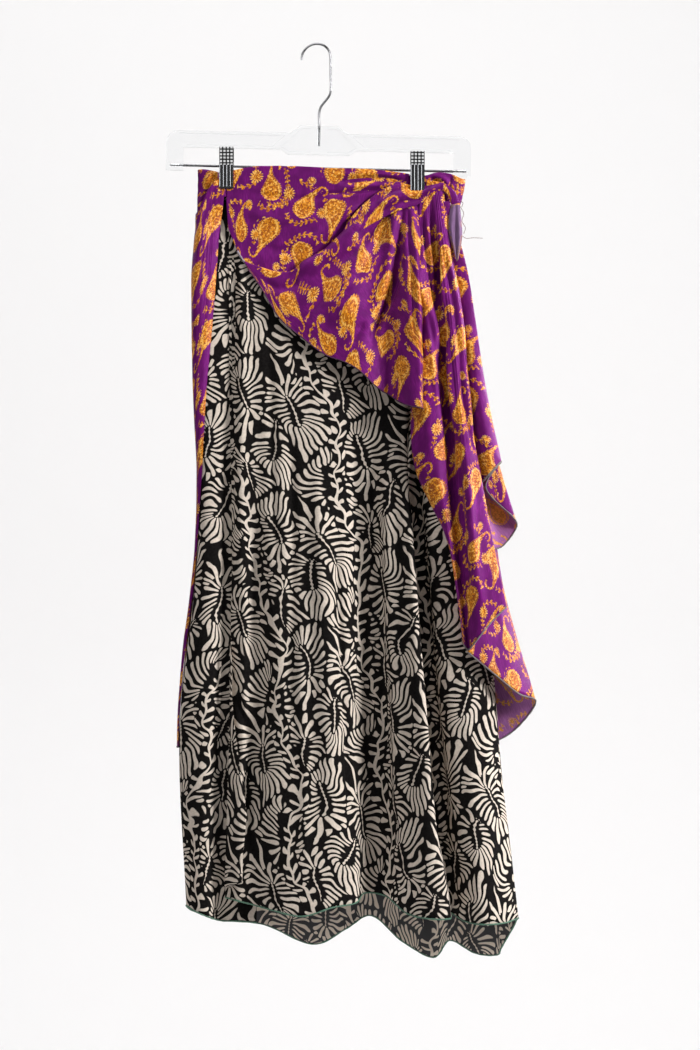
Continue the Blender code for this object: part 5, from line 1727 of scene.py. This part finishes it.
# %% Swag
# name, path as x and drop, height outwards, width
SWAG_CREASES = (
    ("top edge", ((-36, 268), (-4, 254), (22, 236), (44, 214), (56, 200)), 5.0, 10.0),
    ("knot valley", ((101, 180), (95, 225), (89, 277), (78, 310), (68, 331), (60, 362)), -9.0, 4.5),
    ("valley lip", ((94, 190), (85, 235), (78, 275), (62, 312)), 4.0, 6.0),
    ("lit belly", ((60, 222), (44, 258), (34, 300), (22, 334)), 4.5, 16.0),
    ("upper pleat", ((88, 186), (66, 214), (44, 240), (20, 262)), -3.5, 5.0),
    ("second pleat", ((90, 196), (70, 232), (52, 262), (30, 286)), -2.4, 5.0),
    ("small crease 1", ((54, 326), (45, 342), (38, 352)), -2.0, 3.0),
    ("small crease 2", ((10, 290), (-6, 312), (-16, 326)), -2.0, 4.0),
    ("left draw", ((-20, 276), (-44, 286), (-66, 276)), -2.2, 5.0),
    ("crest pleat 1", ((105, 184), (106, 230), (110, 290), (112, 350)), -3.0, 2.6),
    ("crest pleat 2", ((110, 190), (114, 240), (117, 300), (119, 360)), 2.6, 2.6),
)
swag = surface_grid(rolled_surface(rib_lines(SWAG_RIBS), 1.7, 0.05), 150, 130)
swag = push_out(swag, placed_creases(swag, SWAG_CREASES) + wrinkles(swag, 0.7, (30, 30), 6)
                + wrinkles(swag, 0.35, (12, 12), 46))
cloth_piece("purple_swag_panel", "purple_swag", swag, SILK, turn=28, shift=(30, 24))
serged_edge("purple_swag_hem", swag[-1], 0.7, plum_thread)

# %% [markdown]
# ### Cascade and ripple
#
# The end of the wrap is gathered at the clip and falls in tight pleats that open towards the
# hem. Drawn creases give the deep valleys, and regular pleats fill the rest. The ripple is a
# second, shorter fall behind it.

# %% Cascade
cascade = cloth_grid(fold_lines(CASCADE_FOLDS), 130, 160)
# name, path as x and drop, height outwards, width
CASCADE_CREASES = (
    ("bright ridge", ((108, 188), (109, 242), (122, 288), (136, 332), (146, 377)), 4.5, 5.0),
    ("thin pleat 1", ((121, 188), (128, 260), (138, 314), (143, 368)), -3.0, 2.0),
    ("thin pleat 2", ((125, 188), (133, 262), (143, 325), (150, 390)), 2.4, 2.2),
    ("dark valley", ((130, 186), (139, 242), (139, 277), (146, 331), (147, 385), (153, 473),
                     (161, 600)), -9.0, 3.4),
    ("valley lip", ((134, 190), (144, 250), (147, 320), (154, 400), (162, 480)), 4.0, 3.0),
    ("right ridge 1", ((141, 195), (152, 262), (163, 330), (166, 400)), 3.5, 4.0),
    ("right valley", ((143, 230), (157, 298), (164, 357), (172, 430), (188, 503)), -5.0, 3.2),
    ("right ridge 2", ((148, 240), (163, 310), (172, 380), (184, 460)), 3.0, 4.0),
    ("left pleat", ((116, 200), (113, 262), (117, 330), (128, 400)), -3.4, 2.6),
    ("left ridge", ((118, 230), (121, 290), (130, 350), (140, 430)), 2.6, 3.2),
    ("low valley", ((158, 430), (164, 520), (170, 600), (176, 670)), -4.0, 3.6),
    ("low ridge", ((172, 460), (176, 540), (184, 620), (192, 668)), 3.0, 5.0),
)
cascade = push_out(cascade, placed_creases(cascade, CASCADE_CREASES)
                   + pleats(cascade, 9.0, 0.35, ((0, 1), (0.3, 1), (0.7, 0.4), (1, 0.2)), 7)
                   + wrinkles(cascade, 0.5, (10, 60), 8))
cloth_piece("purple_cascade_panel", "purple_cascade", cascade, SILK, turn=-12, shift=(10, 10))
serged_edge("purple_cascade_hem", cascade[-1], 0.9, grey_thread)

# %% Ripple
ripple = cloth_grid(fold_lines(RIPPLE_FOLDS), 100, 110)
ripple = push_out(ripple, wrinkles(ripple, 0.35, (14, 50), 11))
cloth_piece("purple_ripple_panel", "purple_ripple", ripple, SILK, turn=-14, shift=(20, 30))
serged_edge("purple_ripple_hem", ripple[-1], 0.9, grey_thread)

# %% [markdown]
# ## Waistband
#
# The band is the one doubled strip of the skirt, so its sheet is thicker. In front it is
# pressed back a little where the upper panel covers it, and both stretches draw in at the
# right, where the band narrows towards its foot.

# %% Front of the waistband


def drawn_in(grid):
    """The right end of the waistband moved in, the more the lower."""
    _, down = shares(grid)
    grid[..., 0] -= 8.0 * MM * soft_step(140, 172, grid[..., 0] / MM) * down ** 1.5


band_front = cloth_grid(band_lines(BAND_FRONT), 200, 24)
band_x = band_front[..., 0] / MM
band_front[..., 1] += 1.3 * MM * soft_step(-112, -100, band_x) * (1 - soft_step(100, 112, band_x))
drawn_in(band_front)
# name, path as x and drop, height outwards, width
BAND_CREASES = (
    ("end crease", ((156, 153), (154, 168), (158, 184)), -2.4, 2.0),
    ("end fold", ((130, 158), (142, 162), (152, 172)), -3.0, 2.6),
    ("end ridge", ((132, 152), (146, 157), (162, 172)), 1.8, 3.0),
)
band_front = push_out(band_front, placed_creases(band_front, BAND_CREASES)
                      + wrinkles(band_front, 0.4, (22, 8), 31))
cloth_piece("waistband_front_panel", "waistband_front", band_front, SILK,
            thick=BAND)

# %% Back of the waistband
band_back = cloth_grid(band_lines(BAND_BACK), 150, 20)
drawn_in(band_back)
# name, path as x and drop, height outwards, width
TURN_CREASES = (
    ("turn ridge", ((-124, 150), (-130, 163), (-137, 182), (-140, 196)), 1.8, 2.4),
    ("turn ridge, top", ((-118, 149), (-126, 154), (-134, 160)), 1.4, 2.0),
)
# 1 where the back stretch has turned to the front at the left
in_front = 1 - soft_step(0.5, 2.0, band_back[..., 1] / MM)
band_back = push_out(band_back, in_front * placed_creases(band_back, TURN_CREASES)
                     + wrinkles(band_back, 0.5, (22, 8), 33))
cloth_piece("waistband_back_panel", "waistband_back", band_back, SILK, shift=(11, 7),
            thick=BAND)

# %% [markdown]
# ## Tie
#
# Beside the right clip the tie leaves the wrap as a flattened roll, turns down, and ends in a
# faded strip. A flap of silk is wrapped over the top of the pleats. The roll is a route with
# a squashed circle swept along it; the strip and the flap stand on ribs.

# %% Loop of the tie
# x, y and drop along the roll
LOOP_ROUTE = ((127, -7.8, 164), (137, -9.5, 165), (148, -11, 168), (157, -12, 177),
              (160.5, -12.6, 187))
LOOP_WIDTH = 9.0          # mm
LOOP_HALF_DEPTH = 1.3
LOOP_SQUARENESS = 0.7     # under 1, the roll is boxier than an ellipse


def loop_surface(across, down):
    """The flattened roll of the tie, which leaves the right clip and turns down."""
    route = [place(*point) for point in LOOP_ROUTE]
    at = down * (len(route) - 1)
    ahead = smooth_path(route, min(at + 0.05, len(route) - 1))
    behind = smooth_path(route, max(at - 0.05, 0.0))
    run = (ahead - behind).normalized()
    wide = run.cross(Vector((0, 1, 0))).normalized()
    turn = 2 * math.pi * across
    deep = math.copysign(abs(math.sin(turn)) ** LOOP_SQUARENESS, math.sin(turn))
    around = (wide * (math.cos(turn) * LOOP_WIDTH / 2)
              + wide.cross(run) * (deep * LOOP_HALF_DEPTH))
    return smooth_path(route, at) + around * MM


loop = surface_grid(loop_surface, 40, 50)
cloth_piece("tie_loop_roll", "tie_loop", loop, SILK)

# %% End of the tie
tie_end = cloth_grid(rib_lines(TIE_END_RIBS), 28, 50)
cloth_piece("tie_end_strip", "tie_end", tie_end, ("purple_silk", silk_faded, silk_right),
            shift=(-36, -5))

# %% Wrapped flap
# name, path as x and drop, height outwards, width
FLAP_CREASES = (
    ("long fold", ((44, 212), (68, 198), (92, 186), (118, 181), (134, 173)), -2.6, 3.0),
    ("upper fold", ((60, 188), (84, 174), (102, 169), (120, 169), (140, 164)), -1.6, 2.2),
    ("swell", ((70, 190), (92, 179), (112, 174)), 1.8, 6.0),
)
flap = cloth_grid(rib_lines(FLAP_RIBS), 110, 30)
flap = push_out(flap, placed_creases(flap, FLAP_CREASES) + wrinkles(flap, 0.5, (14, 8), 17))
cloth_piece("tie_wrap_flap", "tie_knot", flap, SILK, turn=-28, shift=(28, 44))

# %% [markdown]
# ## Loose threads
#
# Old silk frays at the side. Each thread is a smooth path with the same thin tube as a hem.

# %% Loose threads
# name, path as x, y and drop
LOOSE_THREADS = (
    ("loose_thread_long", ((168, -10, 224), (173, -11, 227), (181, -11.5, 226.5), (192, -12, 227))),
    ("loose_thread_curl", ((166, -11, 190), (170, -12, 198), (168, -12, 207), (172, -12, 215),
                           (170, -12, 222))),
    ("loose_thread_short", ((165, -12, 183), (169, -13, 186), (167.5, -13, 191))),
)
THREAD_STEPS = 40
for thread_name, stations in LOOSE_THREADS:
    route = [place(*station) for station in stations]
    thread = [smooth_path(route, at * (len(route) - 1) / THREAD_STEPS)
              for at in range(THREAD_STEPS + 1)]
    serged_edge(thread_name, thread, 0.3, red_thread)

# %% [markdown]
# ## Hanger
#
# The clear body bends what is behind it a little and catches light on its rims. The hook
# and rod are drawn steel wire, and the clips are bright plated. The CAD nodes have the true
# shape already, so they keep it and only get these finishes.

# %% Clear plastic


def clear_plastic():
    """Clear moulded plastic with faint flow marks."""
    made, n, shader = start_material("clear_moulding")
    set_finish(shader, Base_Color=(0.97, 0.98, 0.985, 1), Roughness=0.06, IOR=1.32,
               Transmission_Weight=1.0)
    coordinates = n.node("ShaderNodeTexCoord")
    marks = n.noise(coordinates.outputs["Object"], 60.0, 2.0)
    n.bump(shader, marks.outputs["Fac"], 0.15, 0.0005)
    return made


body_plastic = clear_plastic()
print("clear plastic bends light by", round(
    body_plastic.node_tree.nodes["Principled BSDF"].inputs["IOR"].default_value, 2))

# %% [markdown]
# ### Metal
#
# A plated clip has ribs down its leaf and square pads on its head. The pads are too small to
# model, so a grid in the colour draws them: pale, mostly matt pads, with painted shade in the
# grooves between them. Object coordinates, divided by the pitch, count rows from the foot of
# the head and columns from the middle of each clip.

# %% Metal
GRID_PITCH = 4.0 * MM     # rows of square pads on the head of a clip
GRID_COLUMN = 4.1 * MM
GRID_FOOT = -141.0 * MM   # height of the foot of the head
CLIP_LEFT, CLIP_RIGHT = -107.0 * MM, 116.3 * MM
PAD_HALF = 0.31           # half of a pad's width, as part of a column
PAD_HEIGHT = 0.62         # height of a pad, as part of a row
FIRST_ROW = 0.55          # where in a row the grid starts
PAD_COLOUR = (0.85, 0.85, 0.86, 1)


def metal(name, colour, roughness, scale, grid=False):
    """Metal with fine uneven polish; a grid with painted groove shade cuts its head into pads."""
    made, n, shader = start_material(name)
    set_finish(shader, Base_Color=(*colour, 1), Metallic=1.0)
    coordinates = n.node("ShaderNodeTexCoord")
    uneven = n.noise(coordinates.outputs["Object"], scale, 3.0).outputs["Fac"]
    n.put(shader.inputs["Roughness"], n.math("MULTIPLY_ADD", uneven, roughness, roughness * 0.5))
    if grid:
        x, _, height = n.parts(coordinates.outputs["Object"])
        centre = n.choose(n.math("GREATER_THAN", x, 0.0), CLIP_LEFT, CLIP_RIGHT)
        column = n.math("FRACT", n.math("DIVIDE", n.math("SUBTRACT", x, centre), GRID_COLUMN))
        upright = n.math("GREATER_THAN", n.math("ABSOLUTE", n.math("SUBTRACT", column, 0.5)), PAD_HALF)
        row = n.math("FRACT", n.math("MULTIPLY_ADD", height, 1 / GRID_PITCH, FIRST_ROW))
        head = n.math("GREATER_THAN", height, GRID_FOOT)
        # painted shade: dark lines where the grooves between the pads lie in shade
        groove = n.math("MAXIMUM", n.math("GREATER_THAN", row, PAD_HEIGHT), upright)
        groove = n.math("MULTIPLY", groove, head)
        pads = n.choose(head, (*colour, 1), PAD_COLOUR, "RGBA")
        n.put(shader.inputs["Base Color"], n.choose(groove, pads, PAINTED_GROOVE_SHADE, "RGBA"))
        n.put(shader.inputs["Metallic"], n.math("SUBTRACT", 1.0, n.math("MULTIPLY", head, 0.8)))
    return made


wire_steel = metal("wire_steel", (0.28, 0.28, 0.29), 0.30, 300.0)
clip_chrome = metal("clip_chrome", (0.72, 0.73, 0.75), 0.14, 500.0, grid=True)

# %% Finishes of the hanger
WIRE_NODES = ("hanger_rod", "hanger_hook", "clip_left_spring", "clip_right_spring")
CLIP_NODES = ("clip_left_front", "clip_left_back", "clip_right_front", "clip_right_back")
for node_names, finish in ((("hanger_body",), body_plastic), (WIRE_NODES, wire_steel),
                           (CLIP_NODES, clip_chrome)):
    for node_name in node_names:
        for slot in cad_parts[node_name].material_slots:
            slot.material = finish
    print(finish.name, "on", ", ".join(node_names))

# %% [markdown]
# ## Finish
#
# Cloth may stand a little proud of its solid, but the part must not grow. At the end the
# view layer is brought up to date.

# %% Finish
bpy.context.view_layer.update()
